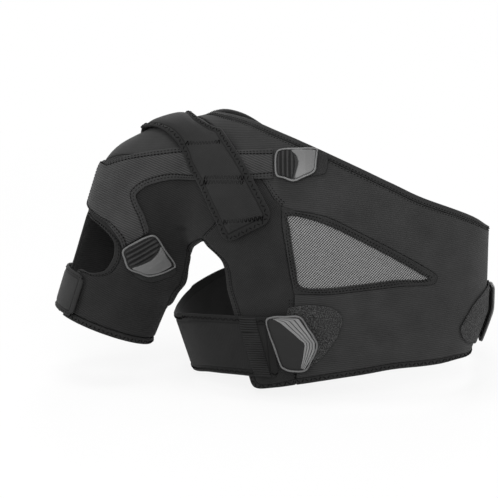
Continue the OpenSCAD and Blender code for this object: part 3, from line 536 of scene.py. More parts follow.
def cloth_grid(rails, trims=(0, 0), cells=16, soft=1.5, marks=(), fine=3, closed=False, wide=None,
               corners=(0, 0), open_ends=False):
    """Body points between two edges, with the distance of each to the rim and its place in the cloth.
    Corners are the radii of the rounded corners at the first and the last row. A cloth with open ends has
    its border along the two edges only."""
    near = np.unique(np.concatenate([rim_shares * soft, [soft], np.array(marks, float)]))
    lists = [np.broadcast_to(np.array(t, float), len(rails[0])) for t in trims]
    if closed:
        rails = [curve(r, fine, True) for r in rails]
        dense = np.arange(len(rails[0])) / fine
        trims = [stepped(dense, t) for t in lists]
        run = np.concatenate([[0], np.cumsum(length(np.diff(rails[1], axis=0)))])
        ends = np.full(len(run), 1e6)
    else:
        rails = [curve(r, fine) for r in rails]
        dense = np.arange(len(rails[0])) / fine
        trims = [stepped(dense, t) for t in lists]
        bend = 1 - np.cos(np.radians(corner_angles))
        rails, run, old = with_end_rows(rails, np.unique(np.concatenate([near, max(corners) * bend])))
        inset = corner_inset(run, corners[0]) + corner_inset(run[-1] - run, corners[1])
        trims = [np.interp(run, old, t) + inset for t in trims]
        ends = np.minimum(run, run[-1] - run)
    a, m, b = rails
    long = length(m - a) + length(b - m)
    start = trims[0]
    stop = start + wide if wide else long - trims[1]
    width = np.maximum(stop - start, 0.5)
    close = np.minimum(near[None] / width[:, None], 0.49)
    middle = close[:, -1:] + (1 - 2 * close[:, -1:]) * (np.arange(1, cells) / cells)[None]
    shares = np.concatenate([close, middle, 1 - close[:, ::-1]], axis=1)
    spot = start[:, None] + width[:, None] * shares
    grid = snap(across(a, m, b, spot / long[:, None]))
    sides = np.minimum(spot - start[:, None], stop[:, None] - spot)
    edge = np.minimum(sides, ends[:, None])
    place = np.stack([np.broadcast_to(run[:, None], spot.shape), spot - long[:, None] / 2], axis=-1)
    return {"grid": grid, "edge": edge, "border": sides if open_ends else edge, "place": place,
            "closed": closed, "soft": soft}


print("rows close to a rim at", rim_shares, "of its width")


# %% Grids into meshes
def as_piece(name, points, faces, places, rims=None):
    mesh = bpy.data.meshes.new(name)
    mesh.from_pydata((points * 0.001).tolist(), [], faces.tolist() if hasattr(faces, "tolist") else faces)
    lay = mesh.uv_layers.new(name="cloth")
    corner = np.zeros(len(mesh.loops), np.int32)
    mesh.loops.foreach_get("vertex_index", corner)
    lay.data.foreach_set("uv", (places[corner] * 0.001).astype(np.float32).ravel())
    if rims is not None:
        lay = mesh.uv_layers.new(name="rim")
        lay.data.foreach_set("uv", np.repeat(rims[corner] * 0.001, 2).astype(np.float32))
    mesh.polygons.foreach_set("use_smooth", np.ones(len(mesh.polygons), bool))
    mesh.update()
    made = bpy.data.objects.new(name, mesh)
    bpy.context.scene.collection.objects.link(made)
    return made


def half_round(edge, soft):
    return np.sqrt(np.maximum(1 - (1 - np.clip(edge / soft, 0, 1)) ** 2, 0))


def soft_swell(amount):
    """Long, low waves, as in cloth that lies on a body."""
    def swell(grid, place):
        x, y, z = np.moveaxis(grid, -1, 0)
        crossed = np.sin(x / 9.1 + z / 17) * np.sin(z / 11.3 - y / 13 + 1)
        return amount * (crossed + np.sin(x / 23 - z / 7.7 + 2))
    return swell


def shell(name, laid, low, high, grooves=(), relief=None, padding=None):
    """A closed cloth from a laid grid. Grooves are (distance from the rim, depth, width), and padding is
    (distance from the rim, rise, reach)."""
    grid, edge, closed = laid["grid"], laid["edge"], laid["closed"]
    out = unit(slope(grid))
    full = half_round(edge, laid["soft"])
    mid = (low + high) / 2
    top = mid + (high - mid) * full
    for at, depth, wide in grooves:
        top = top - depth * np.exp(-(((laid["border"] - at) / wide) ** 2))
    if relief:
        top = top + relief(grid, laid["place"]) * full
    if padding:
        rise = np.clip((edge - padding[0]) / padding[2], 0, 1)
        top = top + padding[1] * rise * rise * (3 - 2 * rise)
    bottom = mid - (mid - low) * full
    rows, cols = edge.shape
    outer = np.arange(rows * cols).reshape(rows, cols)
    inner = outer + rows * cols
    rim = np.zeros((rows, cols), bool)
    rim[:, [0, -1]] = True
    if not closed:
        rim[[0, -1]] = True
    inner = np.where(rim, outer, inner)
    i, j = np.arange(rows if closed else rows - 1), np.arange(cols - 1)
    k = (i + 1) % rows

    def quads(index):
        a, b = index[np.ix_(i, j)], index[np.ix_(k, j)]
        c, d = index[np.ix_(k, j + 1)], index[np.ix_(i, j + 1)]
        return np.stack([a, b, c, d], axis=-1).reshape(-1, 4)

    points = np.concatenate([(grid + out * top[..., None]).reshape(-1, 3),
                             (grid + out * bottom[..., None]).reshape(-1, 3)])
    places = np.concatenate([laid["place"].reshape(-1, 2)] * 2)
    r, c = rows // 2, cols // 2
    turn = np.cross(grid[r, c] - grid[r - 1, c], grid[r, c] - grid[r, c - 1]) @ out[r, c]
    up, down = quads(outer), quads(inner)
    faces = np.concatenate([up, down[:, ::-1]] if turn > 0 else [up[:, ::-1], down])
    used = np.unique(faces)
    renumber = np.zeros(len(points), int)
    renumber[used] = np.arange(len(used))
    rims = np.concatenate([laid["border"].ravel()] * 2)
    made = as_piece(name, points[used], renumber[faces], places[used], rims[used])
    made["flat_area"] = sum(f.area for f in made.data.polygons) / 2
    made["flat_run"] = float(np.ptp(laid["place"][..., 0]))
    return made


print("a cloth closes at its rim")

# %% [markdown]
# ## Laid pieces: pads, patches and moulded pulls
# A pad or a pull has a free outline, not two edges. Rings of points run from its outline to its middle, with
# the same half-round rim, and all of them are set onto the form. The middle closes with a fan.


# %% Points and outlines round a place
def frame_at(at, way):
    n = unit(slope(at[None]))[0]
    u = way - n * (way @ n)
    u = u / np.linalg.norm(u)
    return u, np.cross(n, u)


def laid_at(at, way, points):
    u, v = frame_at(at, np.array(way, float))
    q = np.array(points, float)
    return snap(at + q[:, :1] * u + q[:, 1:] * v, 6)


def outline_at(shares, at, way, long, high, flip=1):
    q = np.array(shares, float) * [long, high * flip]
    return curve(laid_at(at, way, q), 6, True)


heart_share, least_square = 0.03, 0.2
print("a flat place on the chest:", np.round(laid_at(flat_at(-1, [[0, 100]])[0], (1, 0, 0), [[10, 0]])[0]))


# %% Rings inside an outline
def disc_grid(outline, way, soft=0.8, rings=8):
    """Rings of points from an outline inwards, which leave a small heart open."""
    middle = snap(outline.mean(0)[None], 6)[0]
    reach = length(outline - middle)
    near = np.concatenate([rim_shares * soft, [soft]])
    last = near[-1] / reach
    inner = np.arange(1, rings + 1)[:, None] / rings
    share_rows = np.concatenate([1 - near[:, None] / reach[None],
                                 (1 - last[None]) * (1 - inner * (1 - heart_share))])
    grid = snap(middle + (outline - middle)[None] * share_rows[..., None])
    u, v = frame_at(middle, np.array(way, float))
    place = np.stack([(grid - middle) @ u, (grid - middle) @ v], axis=-1)
    steep = np.abs(np.sum(unit(np.roll(outline, -1, 0) - np.roll(outline, 1, 0))
                          * unit(outline - middle), axis=-1))
    square = np.sqrt(np.maximum(1 - steep ** 2, least_square))
    edge = (1 - share_rows) * reach[None] * square[None]
    edge[0] = 0
    return {"grid": np.swapaxes(grid, 0, 1), "edge": edge.T, "place": np.swapaxes(place, 0, 1),
            "soft": soft, "middle": middle}


def disc(name, laid, low, high, crown=None, under=None):
    """A closed piece from rings. Crown and under add to its two faces, by distance from the rim and place."""
    grid, edge = laid["grid"], laid["edge"]
    count, rings = edge.shape
    out = unit(slope(grid))
    full = half_round(edge, laid["soft"])
    mid = (low + high) / 2
    top = mid + (high - mid) * full + (crown(edge, laid["place"]) if crown else 0)
    bottom = mid - (mid - low) * full + (under(edge, laid["place"]) if under else 0)
    outer = np.arange(count * rings).reshape(count, rings)
    inner = np.where(np.arange(rings)[None] == 0, outer, outer + count * rings)
    i = np.arange(count)
    k = (i + 1) % count
    sheets = []
    for index in (outer, inner):
        a, b = index[i][:, :-1], index[k][:, :-1]
        c, d = index[k][:, 1:], index[i][:, 1:]
        sheets.append(np.stack([a, b, c, d], axis=-1).reshape(-1, 4).tolist())
    points = np.concatenate([(grid + out * top[..., None]).reshape(-1, 3),
                             (grid + out * bottom[..., None]).reshape(-1, 3)])
    places = np.concatenate([laid["place"].reshape(-1, 2)] * 2)
    caps = []
    for index, height in ((outer, top), (inner, bottom)):
        heart = laid["middle"] + unit(slope(laid["middle"][None]))[0] * height[:, -1].mean()
        points = np.concatenate([points, heart[None]])
        places = np.concatenate([places, [[0, 0]]])
        caps.append([[index[p, -1], index[q, -1], len(points) - 1] for p, q in zip(i, k)])
    up = np.cross(grid[1, 1] - grid[0, 1], grid[0, 2] - grid[0, 1]) @ out[0, 1] > 0
    front, back = sheets[0] + caps[0], sheets[1] + caps[1]
    turn_back = [f[::-1] for f in back] if up else back
    turn_front = front if up else [f[::-1] for f in front]
    faces = [list(map(int, f)) for f in turn_front + turn_back]
    used = np.unique(np.concatenate([np.array(f) for f in faces]))
    renumber = np.zeros(len(points), int)
    renumber[used] = np.arange(len(used))
    made = as_piece(name, points[used], [renumber[f].tolist() for f in faces], places[used])
    made["flat_area"] = sum(f.area for f in made.data.polygons) / 2
    made["flat_run"] = float(np.ptp(laid["place"][..., 0]))
    return made


print("laid pieces close with a fan")

# %% [markdown]
# ## Stitches
# Seams show as rows of small thread dashes, sunk a little into the cloth. They could be a bump texture,
# but at a close look thread is round and casts a shadow, so each stitch is a small mesh: two tips and a
# three-sided waist. A row follows a line of points, and the rows of one piece of cloth become one mesh.


# %% Rows of thread
stitch_faces = [[2, 5, 6, 3], [3, 6, 7, 4], [4, 7, 5, 2], [0, 2, 3], [0, 3, 4], [0, 4, 2], [1, 6, 5],
                [1, 7, 6], [1, 5, 7]]
stitch_points, waist_at, thread_sink, thread_rise = 8, 0.3, 0.5, 0.45


def along_line(line, run, at):
    return np.stack([np.interp(at, run, line[:, k]) for k in range(3)], axis=-1)


def thread_row(line, height, pitch, dash, wide, swing=0.0):
    """Points and faces of the stitches along a line on the form. Swing leans every other stitch."""
    run = np.concatenate([[0], np.cumsum(length(np.diff(line, axis=0)))])
    count = max(int(run[-1] / pitch), 1)
    at = (np.arange(count) + 0.5) * run[-1] / count
    spot = snap(along_line(line, run, at))
    ahead = along_line(line, run, np.minimum(at + 1, run[-1]))
    behind = along_line(line, run, np.maximum(at - 1, 0))
    n = unit(slope(spot))
    t = ahead - behind
    t = unit(t - n * np.sum(t * n, axis=-1)[:, None])
    s = np.cross(n, t)
    lean = np.radians(swing * np.where(np.arange(count) % 2 == 0, 1, -1))[:, None]
    t, s = t * np.cos(lean) + s * np.sin(lean), s * np.cos(lean) - t * np.sin(lean)
    base = spot + n * height
    sink = n * wide * thread_sink
    parts = [base - t * dash / 2 - sink, base + t * dash / 2 - sink]
    for share in (-waist_at, waist_at):
        core = base + t * dash * share
        parts += [core - s * wide / 2 - sink, core + n * wide * thread_rise, core + s * wide / 2 - sink]
    points = np.stack(parts, axis=1).reshape(-1, 3)
    faces = [[v + stitch_points * k for v in f] for k in range(count) for f in stitch_faces]
    return points, faces


def sew(name, rows):
    points, faces, start = [], [], 0
    for p, f in rows:
        points.append(p)
        faces += [[v + start for v in face] for face in f]
        start += len(p)
    points = np.concatenate(points)
    return as_piece(name, points, faces, points[:, [0, 2]])


def line_inside(rails, distance, fine=4):
    """The line at a distance from the first of two edges."""
    a, m, b = (curve(r, fine) for r in rails)
    long = length(m - a) + length(b - m)
    spot = np.broadcast_to(np.array(distance, float), long.shape)
    return snap(across(a, m, b, (spot / long)[:, None])[:, 0])


print("a stitch has", stitch_points, "points and", len(stitch_faces), "faces")

# %% [markdown]
# ## Finishes
# All the cloth is black or dark grey, so the weave, the sheen and the small differences in tone tell the
# pieces apart. A finish here is two tones of one colour. Fine lines, which run with the cloth's own map or
# straight across the form, mix the two and give the bump, and a soft noise breaks up the evenness. A strap
# also has a border that is a little darker up to the line where it is sewn, and a painted shadow along
# that line, where its groove would be shaded. On the grips of the small pulls the lines are painted shade
# in the valleys and painted light on the ridge tops. One helper makes them all, with the values that suit
# each cloth.


# %% Small helpers for finishes
def node_maths(tree, operation, a, b=0.0):
    node = tree.nodes.new("ShaderNodeMath")
    node.operation = operation
    for socket, value in zip(node.inputs, (a, b)):
        if isinstance(value, (int, float)):
            socket.default_value = value
        else:
            tree.links.new(value, socket)
    return node.outputs[0]


def fine_lines(tree, where, way, pitch):
    """A sine along a direction, one wave to each pitch in metres."""
    dot = tree.nodes.new("ShaderNodeVectorMath")
    dot.operation = "DOT_PRODUCT"
    tree.links.new(where, dot.inputs[0])
    way = np.array(way, float) / np.linalg.norm(way) * 2 * math.pi / pitch
    dot.inputs[1].default_value = tuple(way)
    return node_maths(tree, "SINE", dot.outputs["Value"])


def noise(tree, where, scale, detail=2.0, rough=0.5):
    node = tree.nodes.new("ShaderNodeTexNoise")
    node.inputs["Scale"].default_value = scale
    node.inputs["Detail"].default_value = detail
    node.inputs["Roughness"].default_value = rough
    tree.links.new(where, node.inputs["Vector"])
    return node.outputs["Fac"]


# The last of these is the painted shadow on a border's sewn line: it darkens that line by half, as the shade in
# its groove would.
border_blur, seam_half, seam_painted_shadow = 0.0004, 0.0006, 0.5


def rim_share(tree, wide):
    """0 on the border of a piece and 1 inside it, from its map of distances to the rim."""
    rims = tree.nodes.new("ShaderNodeUVMap")
    rims.uv_map = "rim"
    parted = tree.nodes.new("ShaderNodeSeparateXYZ")
    tree.links.new(rims.outputs["UV"], parted.inputs[0])
    step = tree.nodes.new("ShaderNodeMapRange")
    step.inputs["From Min"].default_value = wide - border_blur
    step.inputs["From Max"].default_value = wide + border_blur
    tree.links.new(parted.outputs["X"], step.inputs["Value"])
    return step.outputs["Result"]


def scaled(tree, colour, level):
    node = tree.nodes.new("ShaderNodeVectorMath")
    node.operation = "SCALE"
    tree.links.new(colour, node.inputs[0])
    tree.links.new(level, node.inputs["Scale"])
    return node.outputs["Vector"]


def centred(tree, value, amount):
    """A value from 0 to 1 as a swing round zero."""
    return node_maths(tree, "MULTIPLY", node_maths(tree, "SUBTRACT", value, 0.5), 2 * amount)


def border_and_seam_shadow(tree, inside, border):
    """A tone of 1 inside the border, lower on it, and lowest on the sewn line between, where a painted shadow
    stands for the shade in its groove.
    """
    wide, tone = border
    level = node_maths(tree, "ADD", node_maths(tree, "MULTIPLY", inside, 1 - tone), tone)
    # A painted shadow along the sewn line, standing for the shade in its groove.
    outer, inner = rim_share(tree, wide - seam_half), rim_share(tree, wide + seam_half)
    seam = node_maths(tree, "SUBTRACT", outer, inner)
    return node_maths(tree, "SUBTRACT", level, node_maths(tree, "MULTIPLY", seam, seam_painted_shadow))


print("a border's sewn line is", 2 * seam_half, "m wide")


# %% Helper for all finishes
def finish(name, dark, light, lines=(), crossed=False, on_form=False, line_mix=0.5, mottle=40,
           mottle_mix=0.4, grain=900, grain_mix=0.3, bump=0.25, depth=0.0004, rough=0.85, sheen=0.06,
           shine=0.15, bias=0.5, border=None):
    """Border is (its width in metres, its tone as a share of the cloth's); its sewn line also gets a painted
    shadow.
    """
    made = bpy.data.materials.new(name)
    made.use_nodes = True
    tree = made.node_tree
    shader = tree.nodes["Principled BSDF"]
    shader.inputs["Roughness"].default_value = rough
    shader.inputs["Specular IOR Level"].default_value = shine
    shader.inputs["Sheen Weight"].default_value = sheen
    shader.inputs["Sheen Roughness"].default_value = 0.5
    place = tree.nodes.new("ShaderNodeTexCoord")
    flat = tree.nodes.new("ShaderNodeUVMap")
    flat.uv_map = "cloth"
    where = place.outputs["Object"] if on_form else flat.outputs["UV"]
    pattern = None
    for way, pitch in lines:
        wave = fine_lines(tree, where, way, pitch)
        if pattern is None:
            pattern = wave
        else:
            pattern = node_maths(tree, "MULTIPLY" if crossed else "ADD", pattern, wave)
    if border:
        inside = rim_share(tree, border[0])
        if pattern is not None:
            pattern = node_maths(tree, "MULTIPLY", pattern, inside)
    cloud = noise(tree, place.outputs["Object"], mottle)
    specks = noise(tree, place.outputs["Object"], grain, 3.0, 0.7)
    tone = centred(tree, cloud, mottle_mix)
    tone = node_maths(tree, "ADD", tone, centred(tree, specks, grain_mix))
    height = specks
    if pattern is not None:
        tone = node_maths(tree, "ADD", tone, node_maths(tree, "MULTIPLY", pattern, line_mix / 2))
        height = node_maths(tree, "ADD", pattern, node_maths(tree, "MULTIPLY", specks, 0.6))
    tone = node_maths(tree, "ADD", tone, bias)
    mix = tree.nodes.new("ShaderNodeMix")
    mix.data_type = "RGBA"
    mix.clamp_factor = True
    mix.inputs[6].default_value = (*dark, 1)
    mix.inputs[7].default_value = (*light, 1)
    tree.links.new(tone, mix.inputs[0])
    colour = mix.outputs[2]
    # The border's own tone, and a painted shadow on its sewn line.
    if border:
        colour = scaled(tree, colour, border_and_seam_shadow(tree, inside, border))
    tree.links.new(colour, shader.inputs["Base Color"])
    raised = tree.nodes.new("ShaderNodeBump")
    raised.inputs["Strength"].default_value = bump
    raised.inputs["Distance"].default_value = depth
    tree.links.new(height, raised.inputs["Height"])
    tree.links.new(raised.outputs["Normal"], shader.inputs["Normal"])
    return made


def grey(level):
    return (level, level, level)


print("finish helper:", len(bpy.data.materials), "material so far")

# %% Finishes of the cloth
chest_lines, edge_lines = [((0.12, 0.4, 1), 0.0021)], [((1, 0, 0), 0.0017)]
weave_lines = [((1, 0, 0), 0.0016)]
knit_chest = finish("knit_chest", grey(0.0146), grey(0.0360), chest_lines, on_form=True)
knit_cap = finish("knit_cap", grey(0.0165), grey(0.038), chest_lines, on_form=True, line_mix=0.15, bump=0.1)
knit_side = finish("knit_side", grey(0.0072), grey(0.0215), [((1, 0, 0.25), 0.0026), ((-0.25, 0, 1), 0.0026)],
                   crossed=True, on_form=True, line_mix=1.1)
jersey = finish("jersey", grey(0.0075), grey(0.0195), [((0.5, 0, 1), 0.0022)], on_form=True, line_mix=0.75)
rib_band = finish("rib_band", grey(0.0165), grey(0.0515), [((0.45, 0.2, 1), 0.0024)], on_form=True,
                  line_mix=0.7, bump=0.4, border=(0.0058, 0.8))
strap_weave = finish("strap_weave", grey(0.010), grey(0.021), weave_lines, line_mix=0.25,
                     border=(0.0075, 0.75))
belt_weave = finish("belt_weave", grey(0.006), grey(0.015), [((1, 0, 0), 0.0018)], line_mix=0.25,
                    border=(0.0080, 0.8))
tab_weave = finish("tab_weave", grey(0.017), grey(0.031), weave_lines, line_mix=0.25, border=(0.0055, 0.75))
bound_edge = finish("bound_edge", grey(0.007), grey(0.023), edge_lines)
frame_edge = finish("frame_edge", grey(0.010), grey(0.030), edge_lines)
# The thread is near-black: partly its own dark colour, partly painted shade for the hollow where each stitch
# sinks into the cloth.
thread = finish("thread", grey(0.002), grey(0.007), grain_mix=0.5, rough=0.9, sheen=0.0, shine=0.0)
ribbed_tape = finish("ribbed_tape", grey(0.002), grey(0.020), [((0, 1, 0), 0.0027)], line_mix=1.0, rough=0.7,
                     shine=0.08)
print(len(bpy.data.materials), "materials with the cloth")

# %% Finishes of the mesh, the pile and the moulded pieces
mesh_rise, mesh_fall = ((0.75, -0.66, 0), 0.00215), ((0.58, 0.81, 0), 0.00194)
hook_lines = [((1, 0, 0), 0.0014), ((0, 1, 0), 0.0014)]
ridge_pitch = 4.5
mesh_weave = finish("mesh_weave", grey(0.020), grey(0.30), [mesh_rise] * 3 + [mesh_fall] * 2, line_mix=0.65,
                    mottle_mix=0.08, grain_mix=0.15, bump=0.5)
loop_pile = finish("loop_pile", grey(0.006), grey(0.130), mottle=800, mottle_mix=0.9, grain=2600,
                   grain_mix=1.4, bump=0.9, depth=0.0009, bias=0.18)
hook_face = finish("hook_face", grey(0.008), grey(0.026), hook_lines, crossed=True, bump=0.6, rough=0.5,
                   sheen=0.0)
pull_grey = finish("pull_grey", grey(0.15), grey(0.20), grain_mix=0.15, mottle_mix=0.2, bump=0.06, rough=0.42,
                   sheen=0.0, shine=0.4)
pull_pale = finish("pull_pale", grey(0.086), grey(0.116), grain_mix=0.15, mottle_mix=0.2, bump=0.06,
                   rough=0.40, sheen=0.0, shine=0.4)
pull_black = finish("pull_black", grey(0.010), grey(0.017), grain_mix=0.3, mottle_mix=0.2, bump=0.08,
                    rough=0.55, sheen=0.0, shine=0.2)
# The grip's stripes lie over its ridges: painted shade in the valleys and painted light on the ridge tops.
grip_painted_ridge_shade = finish("grip_painted_ridge_shade", grey(0.003), grey(0.032), [((1, 0, 0), ridge_pitch * 0.001)], line_mix=1.0,
                    mottle_mix=0.1, grain_mix=0.15, bump=0.05, rough=0.6, sheen=0.0, shine=0.12)
gel_film = finish("gel_film", (0.05, 0.14, 0.32), (0.08, 0.20, 0.42), grain_mix=0.1, bump=0.05, rough=0.25,
                  sheen=0.0, shine=0.5)
print(len(bpy.data.materials), "materials")

# %% [markdown]
# ## Panels
# Two large panels lie over the chest and the back, with a bound outer edge. A side panel fills the space to
# the armhole, and a spacer mesh lets air through. They are sewn edge to edge, so each is a sheet between
# two of the pattern's lines.


def dress(piece, look, body_name, nodes,
          blend=None):
    piece.data.materials.append(look)
    if nodes:
        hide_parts(*nodes)
    if blend:
        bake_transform(piece)
    else:
        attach(piece, body_name)
    return piece


def bind(name, rails, look, nodes, wide=binding_w):
    """A folded binding along the first of two edges."""
    rim = shell(name, cloth_grid(rails, cells=4, wide=wide), 0, binding_top)
    dress(rim, look, "wrap", nodes)


# %% Chest and back panels with their bound edges
knit_swell, jersey_swell = 0.12, 0.15
for side, word in ((-1, "chest"), (1, "back")):
    rails = panel_rails(side)
    panel = shell(word + "_knit", cloth_grid(rails, (binding_w + seam_gap, seam_gap / 2), 26), 0, cloth_t,
                  relief=soft_swell(knit_swell))
    dress(panel, knit_chest, "wrap", [word + "_panel"])
    neck_part, hem_part = rows_of(rails, 0, neck_rows + 1), rows_of(rails, neck_rows)
    bind(word + "_neck_edge", neck_part, frame_edge, [word + "_edge_binding"])
    bind(word + "_hem_edge", hem_part, bound_edge, [])
    print(word, "panel:", round(panel["flat_area"] * 1e4), "square centimetres")

# %% Side panels with their bound edges
for side, word in ((-1, "chest"), (1, "back")):
    rails = side_rails(side)
    trims = [seam_gap / 2 if i < armhole_from else binding_w + seam_gap for i in range(len(rails[0]))]
    panel = shell(word + "_side_knit", cloth_grid(rails, (trims, seam_gap), 16), 0, cloth_t,
                  relief=soft_swell(knit_swell))
    dress(panel, knit_side, "wrap", [word + "_side_panel"])
    bind(word + "_side_bound_edge", rows_of(rails, armhole_from), bound_edge, [word + "_side_binding"])
    print(word, "side panel:", round(panel["flat_area"] * 1e4), "square centimetres")

# %% Mesh and its frame
net_low, net_high = 1.0, 2.2
net_marks, net_groove = (1.8, 2.6, 3.4), (2.6, 0.45, 0.7)
for side, word in ((-1, "chest"), (1, "back")):
    rails = net_rails(side)
    outline = curve(rails[0], 3, True)
    net = disc(word + "_net", disc_grid(outline, (1, 0, 0), soft=0.5, rings=14), net_low, net_high)
    dress(net, mesh_weave, "wrap", [word + "_mesh"])
    laid = cloth_grid(rails, (0, seam_gap / 2), 8, closed=True, marks=net_marks)
    rim = shell(word + "_net_frame", laid, 0, binding_top, grooves=[net_groove])
    dress(rim, frame_edge, "wrap", [word + "_mesh_binding"])
print("mesh sheets:", round(net["flat_area"] * 1e4), "square centimetres each")

# %% [markdown]
# ## Sleeve, cap and shoulder band
# The sleeve runs from the armhole to the cuff and leaves an opening at its outer side. A cap closes the top
# of the shoulder. Over both lies a ribbed elastic band. Its two arms, one to the chest and one down the
# sleeve, leave a round cut-out between them where the smooth sleeve shows. The border of the band runs
# along its two edges only, because its ends go on under the pulls.

# %% Sleeve and cuff
inner_gap, armhole_gap, hem_gaps = 0.6, 1.0, (0.4, 0.2)
for side, word in ((-1, "front"), (1, "back")):
    rails = sleeve_rails(side)
    rows = np.arange(len(rails[0]))
    seamed = (rows < armhole_from) | (rows > armpit_at)
    opened = (side < 0) & (rows >= window_from) & (rows <= window_to)
    trims_in = np.where(seamed, inner_gap, binding_w + armhole_gap)
    trims_out = np.where(opened, binding_w + seam_gap, seam_gap / 2)
    panel = shell("sleeve_%s_jersey" % word, cloth_grid(rails, (trims_in, trims_out), 30), 0, cloth_t,
                  relief=soft_swell(jersey_swell))
    dress(panel, jersey, "wrap", ["sleeve_" + word])
    bind("sleeve_%s_bound_edge" % word, rows_of(rails, armhole_from, armpit_at + 1), bound_edge,
         ["sleeve_%s_binding" % word])
    a, b = (cuff_line(side, down, 15, *hem_gaps) for down in (sleeve_len - binding_w, sleeve_len))
    bind("cuff_%s_hem" % word, (a, (a + b) / 2, b), bound_edge, ["cuff_%s_binding" % word],
         wide=None)
opening_rails = rows_of(sleeve_rails(-1)[::-1], window_from, window_to + 1)
bind("opening_bound_edge", opening_rails, bound_edge, ["window_binding"])
print("sleeve:", round(panel["flat_area"] * 1e4), "square centimetres at the back")


# %% Shoulder cap
def cap_seam(side):
    a, m = flat_at(side, armhole[:1]), flat_at(side, sleeve_middle_top[:1])
    b = arm_at(side, [cuff_opening[0] if side < 0 else rear_edge[0]])
    return snap(across(a, m, b, np.linspace(0, 1, 13)[None])[0])


def halved(line):
    made = np.repeat(line, 2, axis=0)[:-1]
    made[1::2] = (line[:-1] + line[1:]) / 2
    return made


yoke = halved(np.concatenate([inner_line(-1)[yoke_from::-1], inner_line(1)[1:yoke_from + 1]]))
seam = np.concatenate([cap_seam(-1), cap_seam(1)[-2::-1]])
cap_rails = (yoke, snap((yoke + seam) / 2, 6), seam)
cap_gaps = (1.0, 1.4)
cap = shell("shoulder_cap_knit", cloth_grid(cap_rails, cap_gaps, 20), 0, cloth_t,
            relief=soft_swell(knit_swell))
dress(cap, knit_cap, "wrap", ["shoulder_cap"])
print("cap:", round(cap["flat_area"] * 1e4), "square centimetres")

# %% Ribbed band
band_top = [[-64.5, 253], [-99, 249], [-132, 247], [-160, 245], [-180, 243], [-200, 239], [-222, 233]]
band_low = [[-64.5, 226], [-84, 224], [-116, 220], [-143, 216], [-171, 215], [-191, 211], [-203, 206],
            [-210, 200], [-211, 196], [-209, 190], [-206, 183], [-203, 176]]
band_out = [[-12, 68], [-8, 94], [22, 95], [36, 92], [42, 60], [45, 36], [56, 18], [64, 12]]
band_rear = [[-12, 68], [-8, 80], [22, 81], [36, 80], [42, 60], [45, 36], [56, 18], [64, 12]]
band_in = [[30, -3], [34, -6], [38, -7]]
back_top, back_low = [[-92, 244], [-108, 246]], [[-92, 222], [-104, 221]]
band_t, band_marks, band_groove = 2.4, (4.6, 5.2, 5.8, 6.4, 7.1), (5.8, 0.5, 0.7)
band_rails = {}
for side, word in ((-1, "front"), (1, "back")):
    top, low = (band_top, band_low) if side < 0 else (back_top + band_top[2:], back_low + band_low[2:])
    a = curve(np.concatenate([flat_at(side, top), arm_at(side, band_out if side < 0 else band_rear)]), 2)
    b = curve(np.concatenate([flat_at(side, low), arm_at(side, band_in)]), 2)
    band_rails[side] = (a, snap((a + b) / 2, 6), b)
    laid = cloth_grid(band_rails[side], cells=22, fine=5, marks=band_marks, open_ends=True)
    panel = shell("ribbed_band_" + word, laid, layer_1, layer_1 + band_t, grooves=[band_groove])
    dress(panel, rib_band, "wrap", ["shoulder_band_" + word])
print("band:", round(panel["flat_area"] * 1e4), "square centimetres a side")

# %% [markdown]
# ## Straps and belts that peel off
# The shoulder strap, the two belts and the cuff tab are woven elastic, sewn at one end and held by hooks at
# the other. When they lift, the cloth bends at a fold. So each is one strip from its sewn end to its tip.
# The points either side of the fold are worked out and handed on, but the strip itself stays where it is made.


# %% Strips along a line
def strip_rails(line, wide, left=1.0, right=1.0):
    """Both edges of a strip and its middle. Left and right are shares of the half width, row by row."""
    ahead = np.concatenate([line[1:], line[-1:]]) - np.concatenate([line[:1], line[:-1]])
    out = unit(np.cross(unit(slope(line)), unit(ahead))) * wide / 2
    return snap(line - out * np.reshape(left, (-1, 1))), line, snap(line + out * np.reshape(right, (-1, 1)))


def bend_of(first, corner, last):
    """A rounded way from one point to another, past a corner."""
    t = np.linspace(0, 1, 9)[:, None]
    return first * (1 - t) ** 2 + corner * 2 * t * (1 - t) + last * t * t


def fold_of(body_name):
    found = [j for j in frame["joints"] if j["child"] == body_name][0]
    return np.array(found["pos_m"]), np.array(found["axis"])


def fold_span(body_name, tip, reach):
    """Two points before and after a fold, on the way to the strip's tip, in metres. The fold lies above the
    form, so the tip is lifted as high: the way then runs along the strip and leaves its sewn end behind."""
    at, axis = fold_of(body_name)
    height = np.linalg.norm(at * 1000 - snap(at[None] * 1000)[0])
    way = (tip + unit(slope(tip[None]))[0] * height) * 0.001 - at
    way = way - axis * (way @ axis) / (axis @ axis)
    way = way / np.linalg.norm(way) * reach * 0.001
    return tuple(at - way), tuple(at + way)


print("fold of the strap at", np.round(fold_of("shoulder_strap")[0], 3))

# %% Edges of the shoulder strap
strap_w, fold_w, strap_t = 58.0, 54.0, 2.6
strap_top = [[-179, 0], [-174, -20]]
strap_down = [[-146, 257], [-133, 244], [-119, 228], [-108, 210], [-98, 192], [-88, 172]]
back_top_points = [[-179, 0], [-181, -20]]
strap_behind = [[-184, 245], [-187, 231], [-190, 217], [-192, 203]]
fold_gap = 2.4
strap_left = [0.76, 0.9, 0.94, 0.98, 1, 1.02]
strap_right = [0.78, 0.9, 0.94, 0.98, 1, 1.02]
share_rows = np.arange(2, 8)
strap_steps = 3
left_turn, right_turn, turn_rows = [-179, -14], [-142, -22], 9


